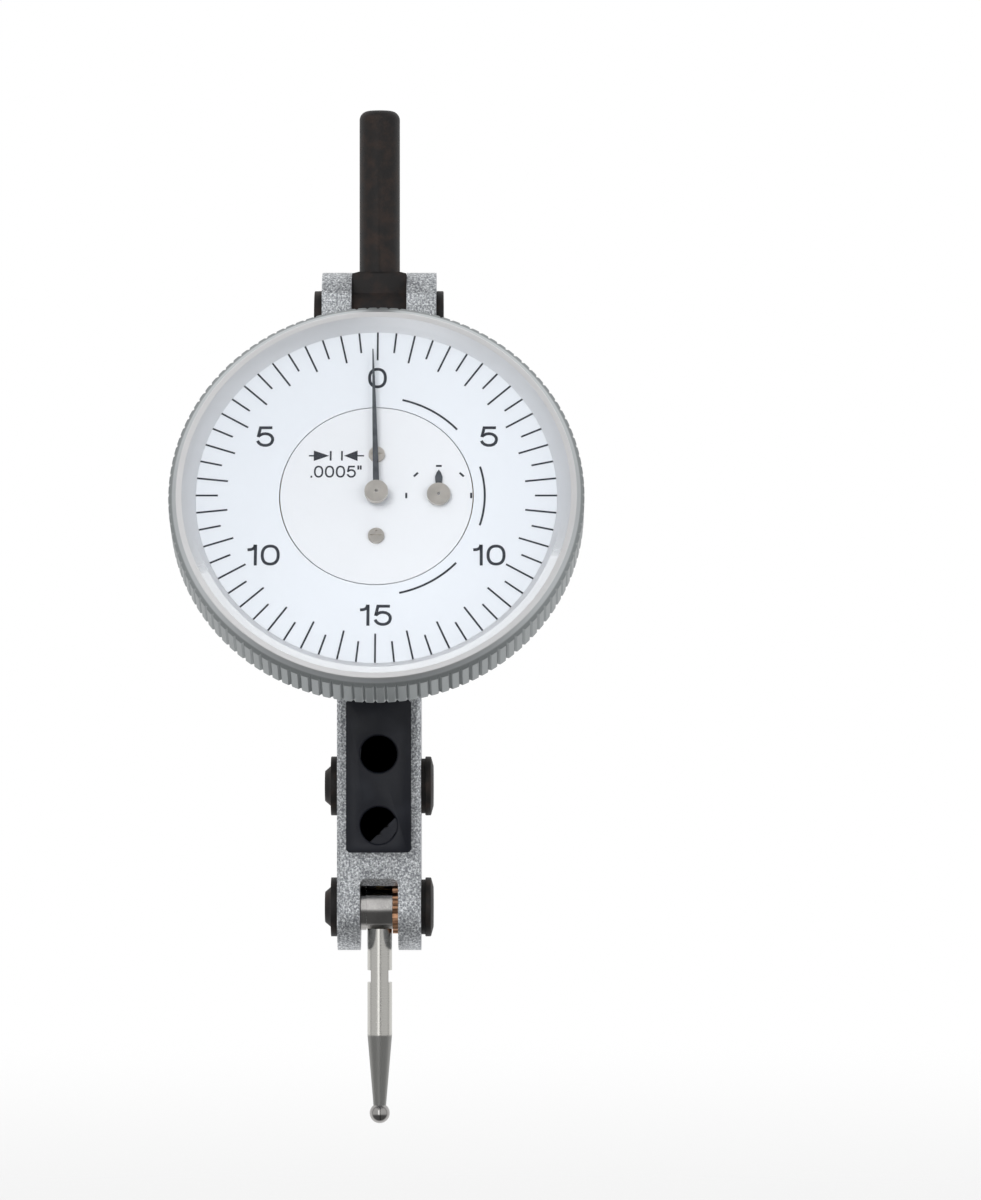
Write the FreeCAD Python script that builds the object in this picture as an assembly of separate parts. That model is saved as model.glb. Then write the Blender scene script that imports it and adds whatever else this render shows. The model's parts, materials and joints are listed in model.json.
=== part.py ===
import FreeCAD, Part
import math
import os

# Dial test indicator with a tilted dial, a swivelling stem and a lever-and-gear movement.
# Millimetres and degrees. +Z runs up the stem, the dial faces -Y and is tilted up, +X is to its right.
# The origin is on the stem's axis, at the shoulder where the stem leaves its swivel block.
Vector = FreeCAD.Vector

# Stem and swivel
STEM_DIAMETER = 3.969
STEM_LENGTH = 15.9
STEM_END_ROUND = 0.9
SHOULDER_SLOPE = 0.18
BLOCK_WIDTH = 5.3
BLOCK_DEPTH = 4.4
EYE_RADIUS = 3.4
SWIVEL_DROP = 4.7
SWIVEL_BOLT_RADIUS = 1.5
LUG_THICKNESS = 2.9
LUG_FRONT = 4.0
BOLT_HEAD_RADIUS = 2.9
BOLT_HEAD_HEIGHT = 0.8
SWIVEL_NUT_HEIGHT = 0.7

# Bar, fork and pivots
BAR_WIDTH = 8.2
BAR_DEPTH = 8.5
BAR_CHAMFER = 0.4
CONTACT_PIVOT_Z = -62.4
PIVOT_DISTANCE = 11.9
FORK_SLOT_WIDTH = 3.74
FORK_SLOT_HEIGHT = 2.2
FORK_MOUTH_HEIGHT = 3.0
FORK_MOUTH_ROUND = 0.7
CHANNEL_FRONT_WALL = 1.65
CHANNEL_REAR_WALL = 2.35
CHANNEL_TOP_WALL = 0.85
CHANNEL_STEP_DROP = 0.6
PIVOT_BORE_RADIUS = 1.9
PIVOT_LIP = 0.33
PIVOT_LIP_WIDTH = 0.6
BEARING_WIDTH = 0.93
PIVOT_FLANGE_RADIUS = 2.9
PIVOT_FLANGE_HEIGHT = 0.67
PIVOT_BOSS_RADIUS = 2.0
PIVOT_BOSS_TIP_RADIUS = 1.5
PIVOT_BOSS_HEIGHT = 0.6
PIVOT_NECK_RADIUS = 2.7
PIVOT_NECK_HEIGHT = 0.4
PIVOT_HEAD_HEIGHT = 0.55
PIVOT_DOME_HEIGHT = 0.25
SLOT_DRIVE_WIDTH = 0.5
SLOT_DRIVE_DEPTH = 0.35

# Dovetails and their screws
DOVETAIL_WIDTH = 6.35
DOVETAIL_HEIGHT = 1.35
DOVETAIL_FLANK = 60
DOVETAIL_TOP_GAP = 0.19
DOVETAIL_LENGTH = 14.9
DOVETAIL_CORNER = 0.28
SCREW_PITCH = 6.96
SCREW_TO_END = 2.64
SCREW_HEAD_HEIGHT = 0.75
SCREW_SINK = 0.15
SCREW_SHANK_RADIUS = 0.8
SCREW_REACH = 2.75
COUNTERSINK_RADIUS = 1.95
CROSS_WIDTH = 0.42
CROSS_DEPTH = 0.45
CROSS_LENGTH = 1.9

# Dial head
DIAL_TILT = 22.9
DIAL_Z = -22.22
HEAD_STEP = 1.68
HEAD_TAPER = 18
HEAD_START = 3.75
RIM_WALL = 1.65
RIM_TOP = 1.2
HEAD_REAR_WALL = 1.5
HEAD_REAR_ROUND = 1.4
PLATE_LEDGE_WIDTH = 1.7
RETAINER_DEPTH = 2.45
RETAINER_WIDTH = 0.5
RETAINER_THICKNESS = 0.5
RETAINER_OPENING = 24

# Bezel, crystal and dials
BEZEL_RADIUS = 19.88
BEZEL_LENGTH = 3.6
BEZEL_CHAMFER_WIDTH = 0.78
BEZEL_FACE_WIDTH = 0.5
BEZEL_WALL = 2.28
BEZEL_FACE_HEIGHT = 0.8
BEZEL_KNURL_HEIGHT = 0.15
BEZEL_GROOVES = 120
BEZEL_GROOVE_DEPTH = 0.22
BEZEL_GROOVE_SHARE = 0.38
SEAT_WIDTH = 0.8
SEAT_LIP_WIDTH = 0.53
SEAT_HEIGHT = 0.33
CRYSTAL_APEX = 3.0
CRYSTAL_THICKNESS = 0.7
DIAL_THICKNESS = 0.4
DIAL_LEDGE_WIDTH = 0.67
DIAL_LEDGE_THICKNESS = 0.5
CENTRE_DIAL_RADIUS = 9.2
DIAL_RING_GAP = 0.1
DIAL_SCREW_OFFSET = 4.25
DIAL_SCREW_HEAD_RADIUS = 0.78
DIAL_SCREW_HEAD_HEIGHT = 0.28
DIAL_SCREW_RADIUS = 0.4
DIAL_SCREW_CROSS_LENGTH = 1.1
DIAL_SCREW_CROSS_WIDTH = 0.22
DIAL_SCREW_CROSS_DEPTH = 0.14
DIAL_SCREW_REACH = 1.8

# Movement plate and train bracket, with depths behind the dial face
PLATE_DEPTH = 3.0
PLATE_THICKNESS = 1.4
PLATE_SCREW_INSET = 0.88
PLATE_SCREW_RADIUS = 0.4
PLATE_SCREW_HEAD_RADIUS = 0.75
PLATE_SCREW_HEAD_HEIGHT = 0.4
PLATE_SCREW_REACH = 3.2
POST_RADIUS = 1.2
BRACKET_WIDTH = 10.0
BRACKET_HEIGHT = 8.0
BRACKET_BASE = 0.8
CHEEK_INNER_X = 3.8
CHEEK_THICKNESS = 0.8
CHEEK_HALF_HEIGHT = 1.6
CHEEK_OVERHANG = 1.2
CROSSBAR_HALF_HEIGHT = 1.0
CROSSBAR_THICKNESS = 1.0
CROSSBAR_END_X = -1.2
BRACKET_SCREW_X = 4.2
BRACKET_SCREW_Y = 3.1
JEWEL_RADIUS = 0.8
SMALL_JEWEL_RADIUS = 0.6

# Gear train
MEASURING_RANGE = 1.524
CONTACT_REACH = 20.3
HAND_TURNS = 2
PINION_TEETH = 9
WHEEL_TEETH = 72
SECTOR_PINION_TEETH = 12
SECTOR_CIRCLE_TEETH = 216
SECTOR_TEETH_BEFORE = 2
SECTOR_TEETH_AFTER = 5
CROWN_DEPTH = 13.0
CROWN_Y = -3.425
CROWN_MODULE = 0.14
COUNTER_X = 5.95
ADDENDUM = 0.85
DEDENDUM = 1.15
TOOTH_FOOT_SHARE = 0.30
TOOTH_TIP_SHARE = 0.11
CROWN_FACE_WIDTH = 1.1
CROWN_WEB = 0.5
CROWN_RIM_DEPTH = 1.4
CROWN_HUB_RADIUS = 1.2
CROWN_HUB_LENGTH = 1.3
ARBOR_RADIUS = 0.35
PIVOT_RADIUS = 0.22
CROWN_SHAFT_RADIUS = 0.5
CROWN_PIVOT_RADIUS = 0.3
COUNTER_ARBOR_RADIUS = 0.25
COUNTER_GEAR_DEPTH = 2.1
COUNTER_PINION_LENGTH = 0.6
COUNTER_WHEEL_THICKNESS = 0.35
SECTOR_PLATE = 0.6
SECTOR_INNER_DROP = 2.1
RIVET_RADIUS = 0.3
RIVET_CIRCLE_DROP = 1.35
RIVET_SPREAD = 3.4

# Hands
HAND_LENGTH = 15.2
HAND_LEAN = 1.7
HAND_HEIGHT = 0.58
HAND_THICKNESS = 0.12
HAND_HUB_RADIUS = 1.0
HAND_ROOT_WIDTH = 0.63
HAND_WAIST_RADIUS = 8.4
HAND_WAIST_WIDTH = 0.4
HAND_TIP_WIDTH = 0.12
CAP_RADIUS = 1.125
CAP_HEIGHT = 0.5
CAP_HOLE_RADIUS = 0.15
COUNTER_HAND_HEIGHT = 0.08
COUNTER_HAND_THICKNESS = 0.1
COUNTER_CAP_HEIGHT = 0.34
COUNTER_HAND_REACH = 2.64
COUNTER_LEAF_WIDTH = 0.72
COUNTER_LEAF_RADIUS = 1.9
COUNTER_LEAF_END = 2.4

# Rocker, stylus and lever
BARREL_RADIUS = 2.35
BARREL_WIDTH = 2.55
ROCKER_SHAFT_RADIUS = 0.9
ROCKER_PIVOT_RADIUS = 0.6
ROCKER_CHEEK_RADIUS = 2.3
ROCKER_ARM_WIDTH = 1.8
ROCKER_ARM_THICKNESS = 0.7
ROCKER_PIN_RADIUS = 0.4
FRICTION_WASHER_RADIUS = 2.65
FRICTION_WASHER_LOBES = 14
FRICTION_WASHER_WAVE = 0.12
SHANK_RADIUS = 1.215
SHANK_LENGTH = 12.6
SPOT_FACE_DEPTH = 0.25
SPOT_FACE_WIDTH = 2.6
CONTACT_THREAD_RADIUS = 0.7
CONTACT_THREAD_LENGTH = 1.0
FLAT_START = 6.2
FLAT_HEIGHT = 1.2
FLAT_DEPTH = 0.35
TIP_RADIUS = 0.625
BALL_RADIUS = 1.0
BALL_SOCKET_DEPTH = 0.5
LEVER_HUB_RADIUS = 1.5
LEVER_HUB_WIDTH = 3.6
LEVER_SHAFT_RADIUS = 0.4
LEVER_PLATE = 0.6
LEVER_ARM_X = 0.95
LEVER_ARM_ROOT_WIDTH = 2.0
LEVER_ARM_TIP_WIDTH = 1.4
LEVER_FOOT_WIDTH = 2.2
LEVER_FOOT_THICKNESS = 0.9
LEVER_FOOT_OVERHANG = 0.8
SPRING_WIRE_RADIUS = 0.15
SPRING_TURNS = 3
SPRING_PITCH = 0.33
SPRING_LEG = 5.0
SPRING_PLAY = 0.08

# Hairspring
HAIRSPRING_INNER = 0.8
HAIRSPRING_OUTER = 3.1
HAIRSPRING_TURNS = 4
HAIRSPRING_STRIP = 0.12
HAIRSPRING_HEIGHT = 0.5
HAIRSPRING_GAP = 0.3
STUD_RADIUS = 0.3

# Clearances
RUNNING = 0.02
SIDE_PLAY = 0.04
SEAT_PLAY = 0.01
LOOSE = 0.05
SWING_GAP = 0.3

# Places that follow from the sizes above
half_bar = BAR_WIDTH / 2
half_depth = BAR_DEPTH / 2
half_slot = FORK_SLOT_WIDTH / 2
stem_radius = STEM_DIAMETER / 2
swivel_z = -SWIVEL_DROP
tilt = math.radians(DIAL_TILT)
dial_y = CROWN_Y - CROWN_DEPTH * math.cos(tilt)
lug_inner_x = BLOCK_WIDTH / 2 + SIDE_PLAY
lug_outer_x = lug_inner_x + LUG_THICKNESS
lever_pivot_z = CONTACT_PIVOT_Z + PIVOT_DISTANCE
channel_front_y = CHANNEL_FRONT_WALL - half_depth
channel_rear_y = half_depth - CHANNEL_REAR_WALL
lip_x = half_slot + PIVOT_LIP
bearing_end_x = lip_x + BEARING_WIDTH
plate_back = PLATE_DEPTH + PLATE_THICKNESS
bezel_face_radius = BEZEL_RADIUS - BEZEL_CHAMFER_WIDTH
seat_outer_radius = bezel_face_radius - BEZEL_FACE_WIDTH
seat_inner_radius = seat_outer_radius - SEAT_WIDTH
outer_dial_radius = seat_inner_radius - SEAT_LIP_WIDTH
dial_ledge_radius = outer_dial_radius - DIAL_LEDGE_WIDTH
bezel_bore = BEZEL_RADIUS - BEZEL_WALL
rim_radius = bezel_bore - LOOSE
head_radius = BEZEL_RADIUS - HEAD_STEP
plate_radius = rim_radius - RIM_WALL
cavity_radius = plate_radius - PLATE_LEDGE_WIDTH
plate_screw_circle = plate_radius - PLATE_SCREW_INSET
retainer_outer = bezel_bore + RETAINER_WIDTH / 2
retainer_inner = bezel_bore - RETAINER_WIDTH / 2
ledge_back = DIAL_THICKNESS + DIAL_LEDGE_THICKNESS

# The head's taper runs past the bar's rear and meets its front face at a foot, with the dovetails below it
head_reach = (half_depth - dial_y + head_radius * math.sin(tilt)) / math.cos(tilt)
head_slope = math.tan(math.radians(HEAD_TAPER))
head_point_radius = head_radius + HEAD_START * head_slope
foot_depth = head_point_radius * math.sin(tilt) - half_depth - dial_y
foot_depth = foot_depth / (math.cos(tilt) + head_slope * math.sin(tilt))
foot_radius = head_point_radius - foot_depth * head_slope
foot_z = DIAL_Z - foot_radius * math.cos(tilt) - foot_depth * math.sin(tilt)
dovetail_top_z = foot_z - DOVETAIL_TOP_GAP

# Gear train angles: the contact's range of travel turns the hand HAND_TURNS times
crown_ratio = WHEEL_TEETH / PINION_TEETH
sector_ratio = SECTOR_CIRCLE_TEETH / SECTOR_PINION_TEETH
rocker_travel = math.degrees(MEASURING_RANGE / CONTACT_REACH)
lever_travel = 360 * HAND_TURNS / crown_ratio / sector_ratio
lever_ratio = lever_travel / rocker_travel
rocker_arm_length = PIVOT_DISTANCE * lever_ratio / (1 + lever_ratio)
lever_foot_length = PIVOT_DISTANCE - rocker_arm_length
drive_pin_z = CONTACT_PIVOT_Z + rocker_arm_length

crown_z = DIAL_Z - CROWN_DEPTH * math.sin(tilt)
crown_distance = math.hypot(CROWN_Y, crown_z - lever_pivot_z)
crown_bearing_angle = math.degrees(math.atan2(crown_z - lever_pivot_z, CROWN_Y))
sector_pinion_radius = crown_distance / (1 + sector_ratio)
sector_radius = crown_distance - sector_pinion_radius
sector_module = 2 * sector_pinion_radius / SECTOR_PINION_TEETH
sector_pitch = 360 / SECTOR_CIRCLE_TEETH
sector_middle_angle = crown_bearing_angle - (SECTOR_TEETH_AFTER - SECTOR_TEETH_BEFORE) * sector_pitch / 2
crown_radius = CROWN_MODULE * WHEEL_TEETH / 2
crown_pinion_radius = CROWN_MODULE * PINION_TEETH / 2
crown_pinion_depth = CROWN_DEPTH - crown_radius
counter_module = 2 * COUNTER_X / (PINION_TEETH + WHEEL_TEETH)

dial_place = FreeCAD.Placement(Vector(0, dial_y, DIAL_Z), FreeCAD.Rotation(Vector(1, 0, 0), 90 - DIAL_TILT))


def on_dial(shape):
    """Moves a shape drawn in the dial's own frame, x right, y up the dial and z out of it, to its place."""
    return shape.transformed(dial_place.toMatrix())


def across(shape, x=0.0, y=0.0, z=0.0):
    """Turns a shape drawn on z so that its axis lies along X, with its x along Y and its y along Z."""
    return shape.transformed(FreeCAD.Matrix(0, 0, 1, x, 1, 0, 0, y, 0, 1, 0, z, 0, 0, 0, 1))


def box(x_span, y_span, z_span):
    corner = Vector(x_span[0], y_span[0], z_span[0])
    return Part.makeBox(x_span[1] - x_span[0], y_span[1] - y_span[0], z_span[1] - z_span[0], corner)


def rod(radius, z_low, z_high, x=0.0, y=0.0):
    return Part.makeCylinder(radius, z_high - z_low, Vector(x, y, z_low))


def cross_rod(radius, x_low, x_high, y, z):
    return across(rod(radius, x_low, x_high), 0, y, z)


def ring(outer, inner, z_low, z_high, x=0.0, y=0.0):
    return rod(outer, z_low, z_high, x, y).cut(rod(inner, z_low, z_high, x, y))


def plate(points, z_low, z_high):
    """A flat plate with straight edges through the given (x, y) points."""
    corners = [Vector(x, y, z_low) for x, y in points]
    outline = Part.makePolygon(corners + corners[:1])
    return Part.Face(outline).extrude(Vector(0, 0, z_high - z_low))


def revolved(points):
    """A solid of revolution about z through the given (radius, z) points."""
    corners = [Vector(radius, 0, z) for radius, z in points]
    outline = Part.makePolygon(corners + corners[:1])
    return Part.Face(outline).revolve(Vector(), Vector(0, 0, 1), 360)


def polar(radius, angle):
    turn = math.radians(angle)
    return radius * math.cos(turn), radius * math.sin(turn)


def tooth_points(centre, pitch, module, pitch_radius):
    """The four corners of one straight-sided tooth, from its foot round its tip to its foot."""
    tip = pitch_radius + ADDENDUM * module
    foot = pitch_radius - DEDENDUM * module
    return [
        polar(foot, centre - TOOTH_FOOT_SHARE * pitch),
        polar(tip, centre - TOOTH_TIP_SHARE * pitch),
        polar(tip, centre + TOOTH_TIP_SHARE * pitch),
        polar(foot, centre + TOOTH_FOOT_SHARE * pitch),
    ]


def gear(teeth, module, z_low, z_high, first_tooth=0.0):
    pitch = 360 / teeth
    points = []
    for tooth in range(teeth):
        points += tooth_points(first_tooth + tooth * pitch, pitch, module, module * teeth / 2)
    return plate(points, z_low, z_high)


def outward(shape, z, side):
    """Turns a shape drawn on z to point out of the bar's front or rear face, centred at height z."""
    turned = shape.copy()
    turned.rotate(Vector(), Vector(1, 0, 0), 90 if side == "front" else -90)
    turned.translate(Vector(0, 0, z))
    return turned


def cross_recess(top, x=0.0, y=0.0, length=CROSS_LENGTH, width=CROSS_WIDTH, depth=CROSS_DEPTH):
    bar = box((-length / 2, length / 2), (-width / 2, width / 2), (top - depth, top))
    upright = bar.copy()
    upright.rotate(Vector(), Vector(0, 0, 1), 90)
    cross = bar.fuse(upright)
    cross.translate(Vector(x, y, 0))
    return cross


def countersunk_screw(top, head_radius, head_height, shank_radius, reach, x=0.0, y=0.0):
    """A screw along z with its flat head at z = top and its point at top - reach."""
    head = Part.makeCone(shank_radius, head_radius, head_height, Vector(x, y, top - head_height))
    return head.fuse(rod(shank_radius, top - reach, top - head_height, x, y))


def countersink(top, head_radius, head_height, shank_radius, reach, x=0.0, y=0.0):
    """The hole that a countersunk screw seats in."""
    return countersunk_screw(
        top, head_radius + SEAT_PLAY, head_height, shank_radius + SEAT_PLAY, reach, x, y
    )


def save(name, *shapes):
    shape = shapes[0] if len(shapes) == 1 else Part.makeCompound(list(shapes))
    if not shape.isValid() or any(solid.Volume <= 0 for solid in shape.Solids):
        raise ValueError(name + " isn't a sound solid")
    shape.exportStep("parts/" + name + ".step")
    print(name, len(shape.Solids), round(shape.Volume, 3))


# Casting

def bar_blank():
    bar = box((-half_bar, half_bar), (-half_depth, half_depth), (CONTACT_PIVOT_Z, DIAL_Z))
    bar = bar.fuse(cross_rod(half_depth, -half_bar, half_bar, 0, CONTACT_PIVOT_Z))
    side = half_bar - BAR_CHAMFER
    face = half_depth - BAR_CHAMFER
    section = [
        (-half_bar, -face), (-side, -half_depth), (side, -half_depth), (half_bar, -face),
        (half_bar, face), (side, half_depth), (-side, half_depth), (-half_bar, face),
    ]
    return bar.common(plate(section, CONTACT_PIVOT_Z - BAR_DEPTH, DIAL_Z))


def behind(shape, y_limit):
    """The part of a shape on the dial's side of the plane y = y_limit."""
    reach = 4 * head_radius
    return shape.common(box((-reach, reach), (y_limit - 2 * reach, y_limit), (-2 * reach, reach)))


def tapered(radius, start, length):
    """A cone about the dial's axis that narrows towards the back by HEAD_TAPER."""
    back_radius = radius - length * head_slope
    return on_dial(Part.makeCone(back_radius, radius, length, Vector(0, 0, -start - length)))


def head_blank():
    head = behind(tapered(head_radius, HEAD_START, head_reach - HEAD_START), half_depth)
    rear = [edge for edge in head.Edges if edge.BoundBox.YMin > half_depth - SEAT_PLAY]
    head = head.makeFillet(HEAD_REAR_ROUND, rear)
    return head.fuse(on_dial(rod(rim_radius, -HEAD_START, -RIM_TOP)))


def lug_blank():
    front = -LUG_FRONT
    lug = box((-lug_outer_x, lug_outer_x), (front, half_depth), (4 * swivel_z, swivel_z))
    crown = cross_rod(SWIVEL_DROP, -lug_outer_x, lug_outer_x, 0, swivel_z)
    crown = crown.common(box((-lug_outer_x, lug_outer_x), (front, half_depth), (2 * swivel_z, 0)))
    return lug.fuse(crown)


def lug_slot():
    eye = EYE_RADIUS + SWING_GAP
    slot = cross_rod(eye, -lug_inner_x, lug_inner_x, 0, swivel_z)
    front_z = swivel_z - EYE_RADIUS / 2
    slot = slot.fuse(box((-lug_inner_x, lug_inner_x), (-BAR_DEPTH, BAR_DEPTH), (front_z, SWIVEL_DROP)))
    return slot.fuse(
        box((-lug_inner_x, lug_inner_x), (0, BAR_DEPTH), (swivel_z - eye, swivel_z))
    )


def pivot_bore(z):
    """The stepped bore across both fork arms for one pair of pivot bearings."""
    inner = PIVOT_BORE_RADIUS - PIVOT_LIP_WIDTH
    bore = cross_rod(inner, -half_bar, half_bar, 0, z)
    for side in (-1, 1):
        low, high = sorted((side * lip_x, side * half_bar))
        bore = bore.fuse(cross_rod(PIVOT_BORE_RADIUS, low, high, 0, z))
    return bore


def dovetail_screw_heights():
    lowest = dovetail_top_z - DOVETAIL_LENGTH + SCREW_TO_END
    return lowest, lowest + SCREW_PITCH


def retainer_band(outer, inner, play):
    """The band about the dial's axis that the retaining ring lies in, with play above and below."""
    half = RETAINER_THICKNESS / 2 + play
    return ring(outer, inner, -RETAINER_DEPTH - half, -RETAINER_DEPTH + half)


def plate_screw_spots():
    return [polar(plate_screw_circle, angle) for angle in (30, 150, 270)]


def fork_mouth(outer_y, inner_y):
    """The round-cornered mouth of the fork's slot, whose roof rises from the slot to the bar's face."""
    slot_top = CONTACT_PIVOT_Z + FORK_SLOT_HEIGHT
    mouth_top = CONTACT_PIVOT_Z + FORK_MOUTH_HEIGHT
    low = slot_top - FORK_MOUTH_HEIGHT
    opening = box((-half_slot, half_slot), sorted((outer_y, inner_y)), (low, mouth_top))
    corners = [
        edge for edge in opening.Edges
        if edge.BoundBox.ZMin > mouth_top - SEAT_PLAY and edge.BoundBox.XLength < SEAT_PLAY
    ]
    opening = opening.makeFillet(FORK_MOUTH_ROUND, corners)
    side = [Vector(-half_slot, y, z) for y, z in (
        (outer_y, low), (outer_y, mouth_top), (inner_y, slot_top), (inner_y, low),
    )]
    roof = Part.Face(Part.makePolygon(side + side[:1])).extrude(Vector(2 * half_slot, 0, 0))
    return opening.common(roof)


def body_casting():
    casting = bar_blank().fuse([head_blank(), lug_blank()])
    hollow = behind(tapered(cavity_radius, plate_back, head_reach - plate_back), half_depth - HEAD_REAR_WALL)
    pocket = on_dial(rod(plate_radius + RUNNING, -plate_back, 0))
    slot_top = CONTACT_PIVOT_Z + FORK_SLOT_HEIGHT
    channel_top = DIAL_Z - half_depth
    channel = box((-half_slot, half_slot), (channel_front_y, channel_rear_y), (slot_top, channel_top))
    fork = box((-half_slot, half_slot), (-BAR_DEPTH, BAR_DEPTH), (CONTACT_PIVOT_Z - BAR_DEPTH, slot_top))
    mouths = [fork_mouth(-half_depth, channel_front_y), fork_mouth(half_depth, channel_rear_y)]
    bolt = cross_rod(SWIVEL_BOLT_RADIUS + RUNNING, -lug_outer_x, lug_outer_x, 0, swivel_z)
    step_z = dovetail_top_z - CHANNEL_STEP_DROP
    step = box((-half_slot, half_slot), (CHANNEL_TOP_WALL - half_depth, 0), (step_z, channel_top))
    groove = on_dial(retainer_band(rim_radius + LOOSE, retainer_inner - LOOSE, LOOSE))
    cuts = [hollow, pocket, channel, step, fork, bolt, lug_slot(), groove] + mouths
    cuts += [pivot_bore(CONTACT_PIVOT_Z), pivot_bore(lever_pivot_z)]
    for screw_z in dovetail_screw_heights():
        hole = rod(SCREW_SHANK_RADIUS + SEAT_PLAY, 0, half_depth)
        cuts += [outward(hole, screw_z, side) for side in ("front", "rear")]
    for x, y in plate_screw_spots():
        cuts.append(on_dial(rod(PLATE_SCREW_RADIUS + SEAT_PLAY, -PLATE_DEPTH - PLATE_SCREW_REACH, 0, x, y)))
    return casting.cut(cuts)


# Dovetails

def dovetail(side):
    """A rail with undercut flanks, drawn flat with its outer face up, screwed to one face of the bar."""
    lean = DOVETAIL_HEIGHT / math.tan(math.radians(DOVETAIL_FLANK))
    wide = DOVETAIL_WIDTH / 2
    top = half_depth + DOVETAIL_HEIGHT
    start = -DOVETAIL_LENGTH / 2
    section = [(-wide + lean, half_depth), (wide - lean, half_depth), (wide, top), (-wide, top)]
    corners = [Vector(x, start, z) for x, z in section]
    outline = Part.Face(Part.makePolygon(corners + corners[:1]))
    rail = outline.extrude(Vector(0, DOVETAIL_LENGTH, 0))
    end = DOVETAIL_LENGTH / 2
    corner = DOVETAIL_CORNER
    shape = [
        (-wide, corner - end), (corner - wide, -end), (wide - corner, -end), (wide, corner - end),
        (wide, end - corner), (wide - corner, end), (corner - wide, end), (-wide, end - corner),
    ]
    rail = rail.common(plate(shape, 0, 2 * top))
    middle = dovetail_top_z - end
    up = 1 if side == "front" else -1
    for screw_z in dovetail_screw_heights():
        y = up * (screw_z - middle)
        rail = rail.cut(
            countersink(
                top - SCREW_SINK, COUNTERSINK_RADIUS - SCREW_SINK, SCREW_HEAD_HEIGHT,
                SCREW_SHANK_RADIUS, SCREW_REACH, 0, y,
            )
        )
        rail = rail.cut(Part.makeCone(COUNTERSINK_RADIUS - SCREW_SINK, COUNTERSINK_RADIUS, SCREW_SINK,
                                      Vector(0, y, top - SCREW_SINK)))
    return outward(rail, middle, side)


def dovetail_screws():
    top = half_depth + DOVETAIL_HEIGHT - SCREW_SINK
    screw = countersunk_screw(
        top, COUNTERSINK_RADIUS - SCREW_SINK, SCREW_HEAD_HEIGHT, SCREW_SHANK_RADIUS, SCREW_REACH
    )
    screw = screw.cut(cross_recess(top))
    return [outward(screw, z, side) for z in dovetail_screw_heights() for side in ("front", "rear")]


# Swivel stem

def stem():
    shank = rod(stem_radius, 0, STEM_LENGTH)
    end = shank.Edges
    top = [edge for edge in end if edge.BoundBox.ZMin > STEM_LENGTH / 2]
    shank = shank.makeFillet(STEM_END_ROUND, top)
    half_block = BLOCK_DEPTH / 2
    outline = [
        (-half_block, swivel_z), (half_block, swivel_z), (half_block, -SHOULDER_SLOPE),
        (stem_radius, 0), (-stem_radius, 0), (-half_block, -SHOULDER_SLOPE),
    ]
    block = across(plate(outline, -BLOCK_WIDTH / 2, BLOCK_WIDTH / 2))
    wide = BLOCK_WIDTH / 2
    front = plate_facing([(-wide, swivel_z), (wide, swivel_z), (wide, -SHOULDER_SLOPE),
                          (stem_radius, 0), (-stem_radius, 0), (-wide, -SHOULDER_SLOPE)], BLOCK_DEPTH)
    block = block.common(front)
    eye = cross_rod(EYE_RADIUS, -wide, wide, 0, swivel_z)
    bore = cross_rod(SWIVEL_BOLT_RADIUS + RUNNING, -wide, wide, 0, swivel_z)
    return shank.fuse([block, eye]).cut(bore)


def plate_facing(points, thickness):
    """A plate through the given (x, z) points, centred on y = 0."""
    corners = [Vector(x, -thickness / 2, z) for x, z in points]
    outline = Part.makePolygon(corners + corners[:1])
    return Part.Face(outline).extrude(Vector(0, thickness, 0))


def swivel_bolt():
    shank = cross_rod(SWIVEL_BOLT_RADIUS, -lug_outer_x, lug_outer_x + SWIVEL_NUT_HEIGHT, 0, swivel_z)
    head = cross_rod(BOLT_HEAD_RADIUS, -lug_outer_x - BOLT_HEAD_HEIGHT, -lug_outer_x, 0, swivel_z)
    return shank.fuse(head).cut(drive_slot(-lug_outer_x - BOLT_HEAD_HEIGHT, swivel_z, BOLT_HEAD_RADIUS))


def swivel_nut():
    low = lug_outer_x
    high = lug_outer_x + SWIVEL_NUT_HEIGHT
    nut = cross_rod(BOLT_HEAD_RADIUS, low, high, 0, swivel_z)
    return nut.cut(cross_rod(SWIVEL_BOLT_RADIUS + SEAT_PLAY, low, high, 0, swivel_z))


def drive_slot(face_x, z, radius):
    """A screwdriver slot up and down a head whose outer face is at face_x."""
    depth = math.copysign(SLOT_DRIVE_DEPTH, -face_x)
    span = sorted((face_x, face_x + depth))
    half_width = SLOT_DRIVE_WIDTH / 2
    return box(span, (-half_width, half_width), (z - radius, z + radius))


# Pivot stations on the bar: a bush on the left, a screw on the right and a bearing behind each

def pivot_bush(z):
    face = -half_bar
    shank = cross_rod(PIVOT_BORE_RADIUS - SEAT_PLAY, -half_bar, -bearing_end_x, 0, z)
    flange = cross_rod(PIVOT_FLANGE_RADIUS, face - PIVOT_FLANGE_HEIGHT, face, 0, z)
    boss = across(
        Part.makeCone(PIVOT_BOSS_TIP_RADIUS, PIVOT_BOSS_RADIUS, PIVOT_BOSS_HEIGHT),
        face - PIVOT_FLANGE_HEIGHT - PIVOT_BOSS_HEIGHT, 0, z,
    )
    slot = drive_slot(face - PIVOT_FLANGE_HEIGHT - PIVOT_BOSS_HEIGHT, z, PIVOT_BOSS_RADIUS)
    return shank.fuse([flange, boss]).cut(slot)


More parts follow.
